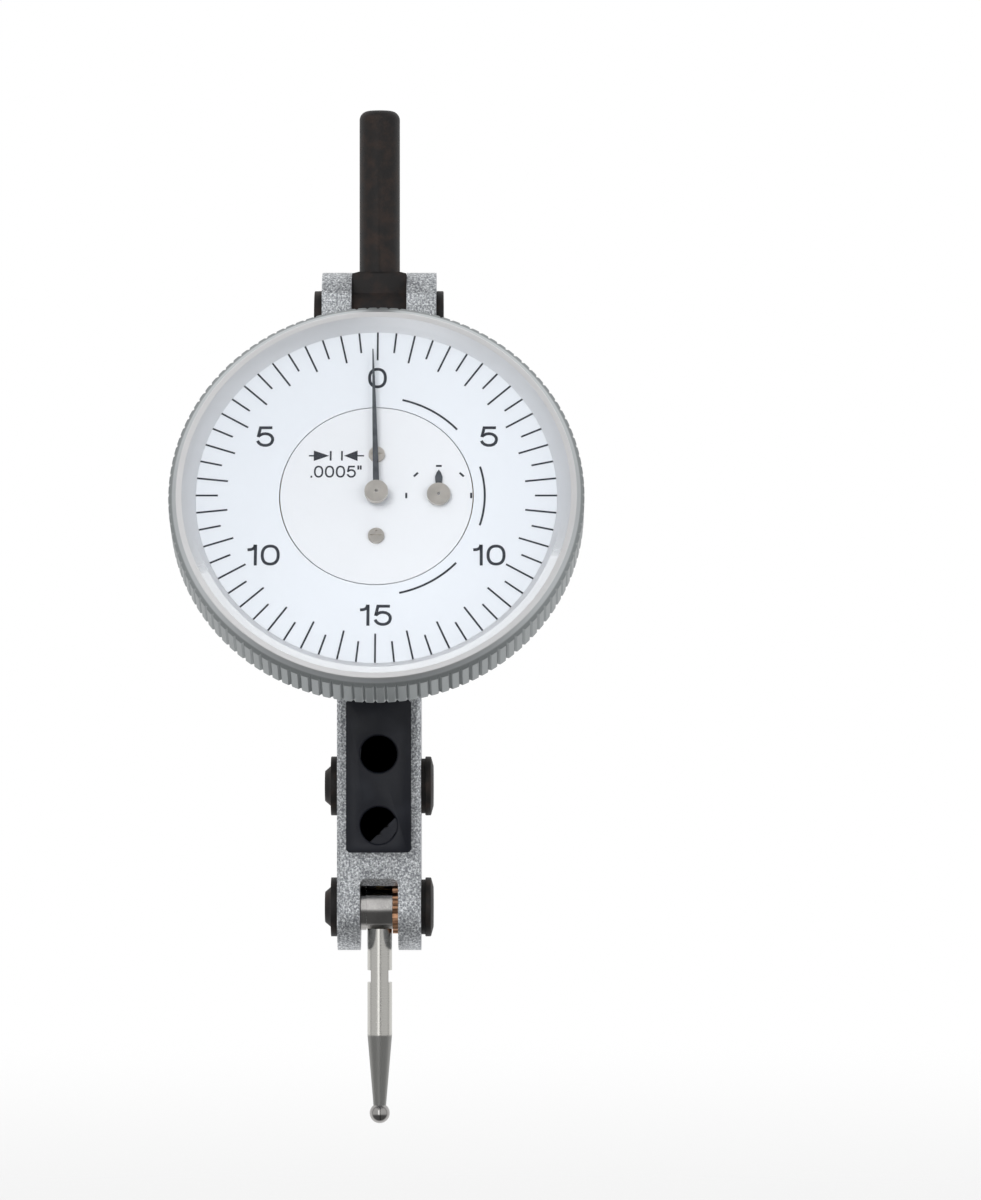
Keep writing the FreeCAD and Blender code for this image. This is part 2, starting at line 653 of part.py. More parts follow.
def pivot_screw(z):
    shank = cross_rod(PIVOT_BORE_RADIUS - SEAT_PLAY, bearing_end_x, half_bar, 0, z)
    neck_end = half_bar + PIVOT_NECK_HEIGHT
    head_end = neck_end + PIVOT_HEAD_HEIGHT
    neck = cross_rod(PIVOT_NECK_RADIUS, half_bar, neck_end, 0, z)
    head = cross_rod(PIVOT_FLANGE_RADIUS, neck_end, head_end, 0, z)
    dome = across(Part.makeCone(PIVOT_FLANGE_RADIUS, PIVOT_BOSS_RADIUS, PIVOT_DOME_HEIGHT), head_end, 0, z)
    slot = drive_slot(head_end + PIVOT_DOME_HEIGHT, z, PIVOT_FLANGE_RADIUS)
    return shank.fuse([neck, head, dome]).cut(slot)


def pivot_bearings(z, shaft_radius):
    """A pair of bearings with their bores open to the shaft, one in each fork arm."""
    bearing = ring(PIVOT_BORE_RADIUS - SEAT_PLAY, shaft_radius + RUNNING, lip_x, bearing_end_x)
    left = across(bearing, 0, 0, z)
    right = left.copy()
    left = left.mirror(Vector(), Vector(1, 0, 0))
    return [left, right]


# Dial head

def bezel_ring():
    """The serrated ring, with a chamfered lip, the crystal's conical seat and a ledge for the dial."""
    groove_turn = 360 / BEZEL_GROOVES
    points = []
    for groove in range(BEZEL_GROOVES):
        middle = groove * groove_turn
        half = BEZEL_GROOVE_SHARE * groove_turn / 2
        land = (groove_turn - 2 * half) / 2
        points += [
            polar(BEZEL_RADIUS, middle - half),
            polar(BEZEL_RADIUS - BEZEL_GROOVE_DEPTH, middle),
            polar(BEZEL_RADIUS, middle + half),
            polar(BEZEL_RADIUS, middle + half + land),
        ]
    serrated = plate(points, -BEZEL_LENGTH, BEZEL_FACE_HEIGHT)
    turned = revolved([
        (bezel_bore, -BEZEL_LENGTH),
        (BEZEL_RADIUS, -BEZEL_LENGTH),
        (BEZEL_RADIUS, BEZEL_KNURL_HEIGHT),
        (bezel_face_radius, BEZEL_FACE_HEIGHT),
        (seat_outer_radius, BEZEL_FACE_HEIGHT),
        (seat_inner_radius, SEAT_HEIGHT),
        (outer_dial_radius + SEAT_PLAY, 0),
        (outer_dial_radius + SEAT_PLAY, -DIAL_THICKNESS),
        (dial_ledge_radius, -DIAL_THICKNESS),
        (dial_ledge_radius, -ledge_back),
        (bezel_bore, -ledge_back),
    ])
    keep = retainer_band(retainer_outer + LOOSE, rim_radius, LOOSE)
    return on_dial(turned.common(serrated).cut(keep))


def bezel_retainer():
    """An open flat ring that sits in the rim's groove and the bezel's and keeps the bezel on."""
    band = retainer_band(retainer_outer, retainer_inner, 0)
    reach = 2 * rim_radius
    side = reach * math.tan(math.radians(RETAINER_OPENING / 2))
    return on_dial(band.cut(plate([(0, 0), (-side, -reach), (side, -reach)], -BEZEL_LENGTH, 0)))


def dome_arc(radius, edge_z, apex_z):
    """An arc in the x-z plane from the rim (radius, edge_z) up to the axis at apex_z."""
    rise = apex_z - edge_z
    sphere = (radius ** 2 + rise ** 2) / (2 * rise)
    half = math.asin(radius / sphere) / 2
    middle = Vector(sphere * math.sin(half), 0, apex_z - sphere + sphere * math.cos(half))
    return Part.Arc(Vector(radius, 0, edge_z), middle, Vector(0, 0, apex_z)).toShape()


def crystal():
    """A domed window whose bevelled edge sits on the bezel's conical seat."""
    slope = (BEZEL_FACE_HEIGHT - SEAT_HEIGHT) / (seat_outer_radius - seat_inner_radius)
    outer = seat_outer_radius - SEAT_PLAY
    inner_z = SEAT_HEIGHT + SEAT_PLAY + slope * SEAT_PLAY
    outer_z = BEZEL_FACE_HEIGHT + SEAT_PLAY
    inner_apex = CRYSTAL_APEX - CRYSTAL_THICKNESS
    edges = [
        dome_arc(outer, outer_z, CRYSTAL_APEX),
        dome_arc(seat_inner_radius, inner_z, inner_apex),
        Part.makeLine(Vector(outer, 0, outer_z), Vector(seat_inner_radius, 0, inner_z)),
        Part.makeLine(Vector(0, 0, CRYSTAL_APEX), Vector(0, 0, inner_apex)),
    ]
    outline = Part.Wire(Part.__sortEdges__(edges))
    return on_dial(Part.Face(outline).revolve(Vector(), Vector(0, 0, 1), 360))


def outer_dial():
    return on_dial(ring(outer_dial_radius, CENTRE_DIAL_RADIUS + DIAL_RING_GAP, -DIAL_THICKNESS, 0))


def centre_dial():
    disc = rod(CENTRE_DIAL_RADIUS, -DIAL_THICKNESS, 0)
    holes = [rod(ARBOR_RADIUS + LOOSE, -DIAL_THICKNESS, 0)]
    holes.append(rod(COUNTER_ARBOR_RADIUS + LOOSE, -DIAL_THICKNESS, 0, COUNTER_X))
    for side in (-1, 1):
        holes.append(rod(DIAL_SCREW_RADIUS + LOOSE, -DIAL_THICKNESS, 0, 0, side * DIAL_SCREW_OFFSET))
    return on_dial(disc.cut(holes))


def dial_screws():
    screws = []
    for side in (-1, 1):
        y = side * DIAL_SCREW_OFFSET
        head = rod(DIAL_SCREW_HEAD_RADIUS, 0, DIAL_SCREW_HEAD_HEIGHT, 0, y)
        screw = head.fuse(rod(DIAL_SCREW_RADIUS, -DIAL_SCREW_REACH, 0, 0, y))
        cross = cross_recess(
            DIAL_SCREW_HEAD_HEIGHT, 0, y,
            DIAL_SCREW_CROSS_LENGTH, DIAL_SCREW_CROSS_WIDTH, DIAL_SCREW_CROSS_DEPTH,
        )
        screws.append(on_dial(screw.cut(cross)))
    return screws


# Movement

def bracket_screw_spots():
    return [(x * BRACKET_SCREW_X, y * BRACKET_SCREW_Y) for x in (-1, 1) for y in (-1, 1)]


def movement_plate():
    disc = rod(plate_radius, -plate_back, -PLATE_DEPTH)
    posts = [
        rod(POST_RADIUS, -PLATE_DEPTH, -DIAL_THICKNESS, 0, side * DIAL_SCREW_OFFSET) for side in (-1, 1)
    ]
    holes = [rod(JEWEL_RADIUS + SEAT_PLAY, -plate_back, -PLATE_DEPTH)]
    holes.append(rod(SMALL_JEWEL_RADIUS + SEAT_PLAY, -plate_back, -PLATE_DEPTH, COUNTER_X))
    for side in (-1, 1):
        holes.append(rod(DIAL_SCREW_RADIUS + SEAT_PLAY, -DIAL_SCREW_REACH, 0, 0, side * DIAL_SCREW_OFFSET))
    for x, y in plate_screw_spots() + bracket_screw_spots():
        holes.append(
            countersink(
                -PLATE_DEPTH, PLATE_SCREW_HEAD_RADIUS, PLATE_SCREW_HEAD_HEIGHT,
                PLATE_SCREW_RADIUS, PLATE_SCREW_REACH, x, y,
            )
        )
    return on_dial(disc.fuse(posts).cut(holes))


def plate_screws(spots, reach):
    screws = []
    for x, y in spots:
        screw = countersunk_screw(
            -PLATE_DEPTH, PLATE_SCREW_HEAD_RADIUS, PLATE_SCREW_HEAD_HEIGHT, PLATE_SCREW_RADIUS, reach, x, y
        )
        screws.append(on_dial(screw))
    return screws


def cheek_span(side):
    return sorted((side * CHEEK_INNER_X, side * (CHEEK_INNER_X + CHEEK_THICKNESS)))


def train_bracket():
    """Two cheeks for the crown arbor and a crossbar for the centre arbor, on one screwed base."""
    base_back = plate_back + BRACKET_BASE
    wide = BRACKET_WIDTH / 2
    high = BRACKET_HEIGHT / 2
    bracket = box((-wide, wide), (-high, high), (-base_back, -plate_back))
    cheek_back = CROWN_DEPTH + CHEEK_OVERHANG
    for side in (-1, 1):
        cheek = box(cheek_span(side), (-CHEEK_HALF_HEIGHT, CHEEK_HALF_HEIGHT), (-cheek_back, -base_back))
        bracket = bracket.fuse(cheek)
    bar_back = crossbar_front() + CROSSBAR_THICKNESS
    crossbar = box(
        (CROSSBAR_END_X, CHEEK_INNER_X),
        (-CROSSBAR_HALF_HEIGHT, CROSSBAR_HALF_HEIGHT),
        (-bar_back, -crossbar_front()),
    )
    bracket = bracket.fuse(crossbar)
    holes = [rod(JEWEL_RADIUS + LOOSE, -base_back, -plate_back)]
    holes.append(rod(SMALL_JEWEL_RADIUS + SEAT_PLAY, -bar_back, -crossbar_front()))
    hole = across(rod(JEWEL_RADIUS + SEAT_PLAY, -wide, wide), 0, 0, -CROWN_DEPTH)
    holes.append(hole)
    for x, y in bracket_screw_spots():
        holes.append(rod(PLATE_SCREW_RADIUS + SEAT_PLAY, -base_back, -plate_back, x, y))
    return on_dial(bracket.cut(holes))


def crossbar_front():
    return crown_pinion_depth + CROWN_FACE_WIDTH / 2 + SWING_GAP


def jewel(radius, hole, front, thickness, x=0.0):
    return on_dial(ring(radius, hole + RUNNING, -front - thickness, -front, x))


def centre_jewels():
    return [
        jewel(JEWEL_RADIUS, ARBOR_RADIUS, PLATE_DEPTH, PLATE_THICKNESS),
        jewel(SMALL_JEWEL_RADIUS, PIVOT_RADIUS, crossbar_front(), CROSSBAR_THICKNESS),
    ]


def counter_jewel():
    return jewel(SMALL_JEWEL_RADIUS, COUNTER_ARBOR_RADIUS, PLATE_DEPTH, PLATE_THICKNESS, COUNTER_X)


def crown_jewels():
    jewels = []
    for side in (-1, 1):
        low, high = cheek_span(side)
        jewel_ring = ring(JEWEL_RADIUS, CROWN_PIVOT_RADIUS + RUNNING, low, high)
        jewels.append(across(jewel_ring, 0, CROWN_Y, crown_z))
    return jewels


def crown_arbor():
    """The cross shaft with the pinion that the sector drives."""
    inner = CHEEK_INNER_X - LOOSE
    outer = CHEEK_INNER_X + CHEEK_THICKNESS
    shaft = rod(CROWN_SHAFT_RADIUS, -inner, inner).fuse(rod(CROWN_PIVOT_RADIUS, -outer, outer))
    low = LEVER_ARM_X + LEVER_PLATE - SIDE_PLAY
    high = low + SECTOR_PLATE + 2 * LOOSE
    first = crown_bearing_angle + 180 + 180 / SECTOR_PINION_TEETH
    pinion = gear(SECTOR_PINION_TEETH, sector_module, low, high, first)
    return across(shaft.fuse(pinion), 0, CROWN_Y, crown_z)


def crown_wheel():
    """A contrate wheel: a web on a hub, a rim that stands forward and teeth on the rim's face."""
    pitch = 360 / WHEEL_TEETH
    tip_x = -crown_pinion_radius + ADDENDUM * CROWN_MODULE
    foot_x = -crown_pinion_radius - DEDENDUM * CROWN_MODULE
    web_x = foot_x - CROWN_RIM_DEPTH
    outer = crown_radius + CROWN_FACE_WIDTH / 2
    inner = crown_radius - CROWN_FACE_WIDTH / 2
    wheel = rod(outer, web_x, foot_x).cut(rod(inner, web_x + CROWN_WEB, foot_x))
    wheel = wheel.fuse(rod(CROWN_HUB_RADIUS, web_x - CROWN_HUB_LENGTH, web_x + CROWN_WEB))
    teeth = []
    for tooth in range(WHEEL_TEETH):
        centre = 180 - DIAL_TILT + tooth * pitch
        teeth.append(crown_tooth(centre, pitch, inner, outer, foot_x, tip_x))
    wheel = wheel.fuse(teeth)
    wheel = wheel.cut(rod(CROWN_SHAFT_RADIUS + SEAT_PLAY, web_x - CROWN_HUB_LENGTH, foot_x))
    return across(wheel, 0, CROWN_Y, crown_z)


def crown_tooth(centre, pitch, inner, outer, foot_x, tip_x):
    """One radial ridge on the crown wheel's rim, narrower at its tip."""
    def quad(half, level):
        spots = [
            polar(inner, centre - half), polar(outer, centre - half),
            polar(outer, centre + half), polar(inner, centre + half),
        ]
        corners = [Vector(x, y, level) for x, y in spots]
        return Part.makePolygon(corners + corners[:1])
    foot = quad(TOOTH_FOOT_SHARE * pitch, foot_x)
    return Part.makeLoft([foot, quad(TOOTH_TIP_SHARE * pitch, tip_x)], True, True)


def centre_arbor():
    """The hand's shaft, with the pinion that the crown wheel drives."""
    front = HAND_HEIGHT + HAND_THICKNESS + CAP_HEIGHT / 2
    pinion_front = crown_pinion_depth - CROWN_FACE_WIDTH / 2
    pinion_back = crown_pinion_depth + CROWN_FACE_WIDTH / 2
    shaft = rod(ARBOR_RADIUS, -pinion_front, front)
    pivot = rod(PIVOT_RADIUS, -crossbar_front() - CROSSBAR_THICKNESS, -pinion_back)
    pinion = gear(PINION_TEETH, CROWN_MODULE, -pinion_back, -pinion_front)
    return on_dial(shaft.fuse([pivot, pinion]))


def counter_pinion():
    back = COUNTER_GEAR_DEPTH + COUNTER_PINION_LENGTH
    pinion = gear(PINION_TEETH, counter_module, -back, -COUNTER_GEAR_DEPTH)
    return on_dial(pinion.cut(rod(ARBOR_RADIUS + SEAT_PLAY, -back, -COUNTER_GEAR_DEPTH)))


def counter_wheel():
    front = COUNTER_GEAR_DEPTH + LOOSE
    back = front + COUNTER_WHEEL_THICKNESS
    wheel = gear(WHEEL_TEETH, counter_module, -back, -front, 180 + 180 / WHEEL_TEETH)
    wheel = wheel.cut(rod(COUNTER_ARBOR_RADIUS + SEAT_PLAY, -back, -front))
    wheel.translate(Vector(COUNTER_X, 0, 0))
    return on_dial(wheel)


def counter_arbor():
    front = COUNTER_HAND_HEIGHT + COUNTER_HAND_THICKNESS + COUNTER_CAP_HEIGHT / 2
    return on_dial(rod(COUNTER_ARBOR_RADIUS, -plate_back, front, COUNTER_X))


def hairspring():
    """A flat spiral strip round the centre arbor, from its collet to the stud on the bracket."""
    steps = 20 * HAIRSPRING_TURNS
    half = HAIRSPRING_STRIP / 2
    spiral = []
    for side in (1, -1):
        run = []
        for step in range(steps + 1):
            share = step / steps
            radius = HAIRSPRING_INNER + half + share * (HAIRSPRING_OUTER - HAIRSPRING_INNER)
            run.append(polar(radius + side * half, 90 + 360 * HAIRSPRING_TURNS * share))
        spiral += run if side == 1 else run[::-1]
    front = plate_back + BRACKET_BASE + HAIRSPRING_GAP
    return on_dial(plate(spiral, -front - HAIRSPRING_HEIGHT, -front))


def hairspring_stud():
    front = plate_back + BRACKET_BASE
    back = front + HAIRSPRING_GAP + HAIRSPRING_HEIGHT
    y = HAIRSPRING_OUTER + HAIRSPRING_STRIP + STUD_RADIUS + SEAT_PLAY
    return on_dial(rod(STUD_RADIUS, -back, -front, 0, y))


def hairspring_collet():
    front = plate_back + BRACKET_BASE + HAIRSPRING_GAP
    back = front + HAIRSPRING_HEIGHT
    return on_dial(ring(HAIRSPRING_INNER - RUNNING, ARBOR_RADIUS + SEAT_PLAY, -back, -front))


# Hands

def main_hand():
    top = HAND_HEIGHT + HAND_THICKNESS
    half_root, half_waist, half_tip = HAND_ROOT_WIDTH / 2, HAND_WAIST_WIDTH / 2, HAND_TIP_WIDTH / 2
    needle = plate(
        [
            (-half_root, 0), (half_root, 0), (half_waist, HAND_WAIST_RADIUS), (half_tip, HAND_LENGTH),
            (-half_tip, HAND_LENGTH), (-half_waist, HAND_WAIST_RADIUS),
        ],
        HAND_HEIGHT, top,
    )
    hand = needle.fuse(rod(HAND_HUB_RADIUS, HAND_HEIGHT, top))
    hand = hand.cut(rod(ARBOR_RADIUS + SEAT_PLAY, HAND_HEIGHT, top))
    hand.rotate(Vector(), Vector(0, 0, 1), HAND_LEAN)
    return on_dial(hand)


def hand_cap(bottom, height, shaft_radius, x=0.0):
    """A turned cap pressed over the end of a hand's arbor, with a small hole in its face."""
    blind = bottom + height / 2
    cap = rod(CAP_RADIUS, bottom, bottom + height, x)
    cap = cap.cut(rod(shaft_radius + SEAT_PLAY, bottom, blind + SEAT_PLAY, x))
    return on_dial(cap.cut(rod(CAP_HOLE_RADIUS, blind, bottom + height, x)))


def counter_hand():
    bottom = COUNTER_HAND_HEIGHT
    top = bottom + COUNTER_HAND_THICKNESS
    half = COUNTER_LEAF_WIDTH / 2
    leaf = plate(
        [
            (-half / 2, 0), (half / 2, 0), (half, COUNTER_LEAF_RADIUS), (half / 2, COUNTER_LEAF_END),
            (0, COUNTER_HAND_REACH), (-half / 2, COUNTER_LEAF_END), (-half, COUNTER_LEAF_RADIUS),
        ],
        bottom, top,
    )
    hand = leaf.fuse(rod(HAND_HUB_RADIUS, bottom, top))
    hand = hand.cut(rod(COUNTER_ARBOR_RADIUS + SEAT_PLAY, bottom, top))
    hand.translate(Vector(COUNTER_X, 0, 0))
    return on_dial(hand)


# Lever and rocker

def lever_arm():
    """A hub with a forked foot for the rocker's pin and a flat arm that carries the sector."""
    half_hub = LEVER_HUB_WIDTH / 2
    hub = rod(LEVER_HUB_RADIUS, -half_hub, half_hub)
    root, tip = LEVER_ARM_ROOT_WIDTH / 2, LEVER_ARM_TIP_WIDTH / 2
    length = sector_radius - RIVET_CIRCLE_DROP + LEVER_ARM_TIP_WIDTH / 4
    wide = RIVET_SPREAD / 2 + tip / 2
    arm = plate(
        [(0, -root), (length, -tip), (length, tip), (0, root)], LEVER_ARM_X, LEVER_ARM_X + LEVER_PLATE
    )
    shoulder = plate(
        [
            (length - LEVER_ARM_TIP_WIDTH, -wide), (length, -wide), (length, wide),
            (length - LEVER_ARM_TIP_WIDTH, wide), (length - 2 * LEVER_ARM_TIP_WIDTH, 0),
        ],
        LEVER_ARM_X, LEVER_ARM_X + LEVER_PLATE,
    )
    arm = arm.fuse(shoulder)
    arm = arm.cut([rod(RIVET_RADIUS + SEAT_PLAY, LEVER_ARM_X, LEVER_ARM_X + LEVER_PLATE, x, y)
                   for x, y in rivet_spots()])
    arm.rotate(Vector(), Vector(0, 0, 1), sector_middle_angle)
    half_foot = LEVER_FOOT_THICKNESS / 2
    foot_end = lever_foot_length + LEVER_FOOT_OVERHANG
    foot = box((-LEVER_FOOT_WIDTH / 2, LEVER_FOOT_WIDTH / 2), (-foot_end, 0), (-half_foot, half_foot))
    slot = ROCKER_PIN_RADIUS + RUNNING
    foot = foot.cut(rod(slot, -half_foot, half_foot, 0, -lever_foot_length + RUNNING))
    foot = foot.cut(box((-slot, slot), (-foot_end, -lever_foot_length + RUNNING), (-half_foot, half_foot)))
    lever = hub.fuse([arm, foot]).cut(rod(LEVER_SHAFT_RADIUS + SEAT_PLAY, -half_hub, half_hub))
    return across(lever, 0, 0, lever_pivot_z)


def rivet_spots():
    along = sector_radius - RIVET_CIRCLE_DROP - LEVER_ARM_TIP_WIDTH / 4
    return [(along, side * RIVET_SPREAD / 2) for side in (-1, 1)]


def sector_gear():
    """A toothed arc riveted to the lever's end, in mesh with the crown arbor's pinion."""
    low = LEVER_ARM_X + LEVER_PLATE
    points = []
    for tooth in range(-SECTOR_TEETH_AFTER, SECTOR_TEETH_BEFORE + 1):
        centre = crown_bearing_angle + tooth * sector_pitch
        points += tooth_points(centre, sector_pitch, sector_module, sector_radius)
    inner = sector_radius - SECTOR_INNER_DROP
    first = crown_bearing_angle - (SECTOR_TEETH_AFTER + 0.5) * sector_pitch
    last = crown_bearing_angle + (SECTOR_TEETH_BEFORE + 0.5) * sector_pitch
    foot = sector_radius - DEDENDUM * sector_module
    middle = (first + last) / 2
    points += [polar(foot, last), polar(inner, last), polar(inner, middle), polar(inner, first)]
    points.append(polar(foot, first))
    sector = plate(points, low, low + SECTOR_PLATE)
    holes = []
    for x, y in rivet_spots():
        hole = rod(RIVET_RADIUS + SEAT_PLAY, low, low + SECTOR_PLATE, x, y)
        hole.rotate(Vector(), Vector(0, 0, 1), sector_middle_angle)
        holes.append(hole)
    return across(sector.cut(holes), 0, 0, lever_pivot_z)


def sector_rivets():
    rivets = []
    for x, y in rivet_spots():
        rivet = rod(RIVET_RADIUS, LEVER_ARM_X, LEVER_ARM_X + LEVER_PLATE + SECTOR_PLATE, x, y)
        rivet.rotate(Vector(), Vector(0, 0, 1), sector_middle_angle)
        rivets.append(across(rivet, 0, 0, lever_pivot_z))
    return rivets


def lever_shaft():
    return cross_rod(LEVER_SHAFT_RADIUS, -bearing_end_x + LOOSE, bearing_end_x - LOOSE, 0, lever_pivot_z)


def wire_section(coil_radius, angle, height):
    """The six-sided section of a coiled wire, at an angle round its coil and a height along it."""
    corners = []
    for corner in range(6):
        out, up = polar(SPRING_WIRE_RADIUS, 60 * corner)
        x, y = polar(coil_radius + out, angle)
        corners.append(Vector(x, y, height + up))
    return Part.makePolygon(corners + corners[:1])


def lever_spring():
    """A coil round the lever's hub that ends in a straight leg along the channel's rear wall."""
    coil_radius = LEVER_HUB_RADIUS + SPRING_WIRE_RADIUS + SPRING_PLAY
    steps = 12 * SPRING_TURNS
    sections = []
    for step in range(steps + 1):
        share = step / steps
        sections.append(
            wire_section(coil_radius, 360 * SPRING_TURNS * share, SPRING_TURNS * SPRING_PITCH * share)
        )
    leg_end = sections[-1].copy()
    leg_end.translate(Vector(0, SPRING_LEG, 0))
    spring = Part.makeLoft(sections + [leg_end], True, True)
    start = -LEVER_HUB_WIDTH / 2 + SPRING_WIRE_RADIUS
    return across(spring, start, 0, lever_pivot_z)


def rocker():
    """The contact's pivot shaft, with a cheek on its left and an arm that rises into the channel."""
    half_barrel = BARREL_WIDTH / 2
    cheek_low = -half_slot + SIDE_PLAY
    cheek_high = -half_barrel - RUNNING
    shaft = rod(ROCKER_SHAFT_RADIUS, cheek_low, half_slot - SIDE_PLAY)
    pivots = rod(ROCKER_PIVOT_RADIUS, -bearing_end_x + LOOSE, bearing_end_x - LOOSE)
    cheek = rod(ROCKER_CHEEK_RADIUS, cheek_low, cheek_high)
    half_arm = ROCKER_ARM_WIDTH / 2
    arm_end = rocker_arm_length + half_arm
    arm = box((-half_arm, half_arm), (0, arm_end), (cheek_low, cheek_high))
    clear = BARREL_RADIUS + SWING_GAP
    pad_high = cheek_low + ROCKER_ARM_THICKNESS
    pad = box((-half_arm, half_arm), (clear, arm_end), (cheek_low, pad_high))
    hole = rod(ROCKER_PIN_RADIUS + SEAT_PLAY, cheek_low, pad_high, 0, rocker_arm_length)
    return across(shaft.fuse([pivots, cheek, arm, pad]).cut(hole), 0, 0, CONTACT_PIVOT_Z)


def rocker_pin():
    return cross_rod(ROCKER_PIN_RADIUS, -half_slot + SIDE_PLAY, LEVER_FOOT_THICKNESS / 2, 0, drive_pin_z)


def friction_washer():
    """A wavy-edged spring washer beside the barrel, on the rocker's shaft."""
    points = []
    steps = 6 * FRICTION_WASHER_LOBES
    for step in range(steps):
        wave = FRICTION_WASHER_WAVE * math.cos(2 * math.pi * step * FRICTION_WASHER_LOBES / steps)
        points.append(polar(FRICTION_WASHER_RADIUS - FRICTION_WASHER_WAVE + wave, 360 * step / steps))
    low = BARREL_WIDTH / 2 + RUNNING
    high = half_slot - SIDE_PLAY
    washer = plate(points, low, high).cut(rod(ROCKER_SHAFT_RADIUS + SEAT_PLAY, low, high))
    return across(washer, 0, 0, CONTACT_PIVOT_Z)


# Stylus

def contact_barrel():
    half = BARREL_WIDTH / 2
    barrel = cross_rod(BARREL_RADIUS, -half, half, 0, CONTACT_PIVOT_Z)
    barrel = barrel.cut(cross_rod(ROCKER_SHAFT_RADIUS + RUNNING, -half, half, 0, CONTACT_PIVOT_Z))
    spot = CONTACT_PIVOT_Z - BARREL_RADIUS
    wide = SPOT_FACE_WIDTH / 2
    barrel = barrel.cut(box((-wide, wide), (-wide, wide), (spot, spot + SPOT_FACE_DEPTH)))
    hole_top = spot + SPOT_FACE_DEPTH + CONTACT_THREAD_LENGTH
    return barrel.cut(rod(CONTACT_THREAD_RADIUS + SEAT_PLAY, spot, hole_top + SEAT_PLAY))


def contact_point():
    """The threaded stub, a shank with two wrench flats and a tapered end that carries the ball."""
    shank_top = CONTACT_PIVOT_Z - BARREL_RADIUS + SPOT_FACE_DEPTH
    shank_end = CONTACT_PIVOT_Z - SHANK_LENGTH
    ball_z = CONTACT_PIVOT_Z - CONTACT_REACH
    tip_z = ball_z + math.sqrt(BALL_RADIUS ** 2 - TIP_RADIUS ** 2)
    point = rod(SHANK_RADIUS, shank_end, shank_top)
    point = point.fuse(rod(CONTACT_THREAD_RADIUS, shank_top, shank_top + CONTACT_THREAD_LENGTH))
    point = point.fuse(Part.makeCone(TIP_RADIUS, SHANK_RADIUS, shank_end - tip_z, Vector(0, 0, tip_z)))
    point = point.fuse(rod(TIP_RADIUS, ball_z + BALL_SOCKET_DEPTH, tip_z))
    flat_top = CONTACT_PIVOT_Z - FLAT_START
    for side in (-1, 1):
        inner = side * (SHANK_RADIUS - FLAT_DEPTH)
        span = sorted((inner, inner + side * SHANK_RADIUS))
        point = point.cut(box(span, (-SHANK_RADIUS, SHANK_RADIUS), (flat_top - FLAT_HEIGHT, flat_top)))
    return point


def contact_ball():
    ball_z = CONTACT_PIVOT_Z - CONTACT_REACH
    ball = Part.makeSphere(BALL_RADIUS, Vector(0, 0, ball_z))
    return ball.cut(rod(TIP_RADIUS, ball_z + BALL_SOCKET_DEPTH, ball_z + BALL_RADIUS))


os.makedirs("parts", exist_ok=True)
save("body_casting", body_casting())
save("front_dovetail", dovetail("front"))
save("rear_dovetail", dovetail("rear"))
save("dovetail_screws", *dovetail_screws())
save("swivel_bolt", swivel_bolt())
save("swivel_nut", swivel_nut())
for station, station_z, shaft_radius in (
    ("lever", lever_pivot_z, LEVER_SHAFT_RADIUS),
    ("contact", CONTACT_PIVOT_Z, ROCKER_PIVOT_RADIUS),
):
    save(station + "_pivot_bush", pivot_bush(station_z))
    save(station + "_pivot_screw", pivot_screw(station_z))
    save(station + "_bearings", *pivot_bearings(station_z, shaft_radius))
save("bezel_retainer", bezel_retainer())
save("centre_dial", centre_dial())
save("dial_screws", *dial_screws())
save("movement_plate", movement_plate())
save("movement_plate_screws", *plate_screws(plate_screw_spots(), PLATE_SCREW_REACH))
save("train_bracket", train_bracket())
save("bracket_screws", *plate_screws(bracket_screw_spots(), PLATE_THICKNESS + BRACKET_BASE))
save("centre_jewels", *centre_jewels())
save("counter_jewel", counter_jewel())
save("crown_jewels", *crown_jewels())
save("hairspring", hairspring())
save("hairspring_stud", hairspring_stud())
save("bezel_ring", bezel_ring())
save("crystal", crystal())
save("outer_dial", outer_dial())
save("stem", stem())
save("rocker", rocker())
save("rocker_pin", rocker_pin())
save("friction_washer", friction_washer())
save("contact_barrel", contact_barrel())
save("contact_point", contact_point())
save("contact_ball", contact_ball())
save("lever_arm", lever_arm())
save("lever_shaft", lever_shaft())
save("lever_spring", lever_spring())
save("sector_gear", sector_gear())
save("sector_rivets", *sector_rivets())
save("crown_arbor", crown_arbor())
save("crown_wheel", crown_wheel())
save("centre_arbor", centre_arbor())
save("counter_pinion", counter_pinion())
save("hairspring_collet", hairspring_collet())
save("main_hand", main_hand())
save("main_hand_cap", hand_cap(HAND_HEIGHT + HAND_THICKNESS, CAP_HEIGHT, ARBOR_RADIUS))
save("counter_arbor", counter_arbor())
save("counter_wheel", counter_wheel())
save("counter_hand", counter_hand())
save("counter_hand_cap", hand_cap(
    COUNTER_HAND_HEIGHT + COUNTER_HAND_THICKNESS, COUNTER_CAP_HEIGHT, COUNTER_ARBOR_RADIUS, COUNTER_X
))
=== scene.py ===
import math

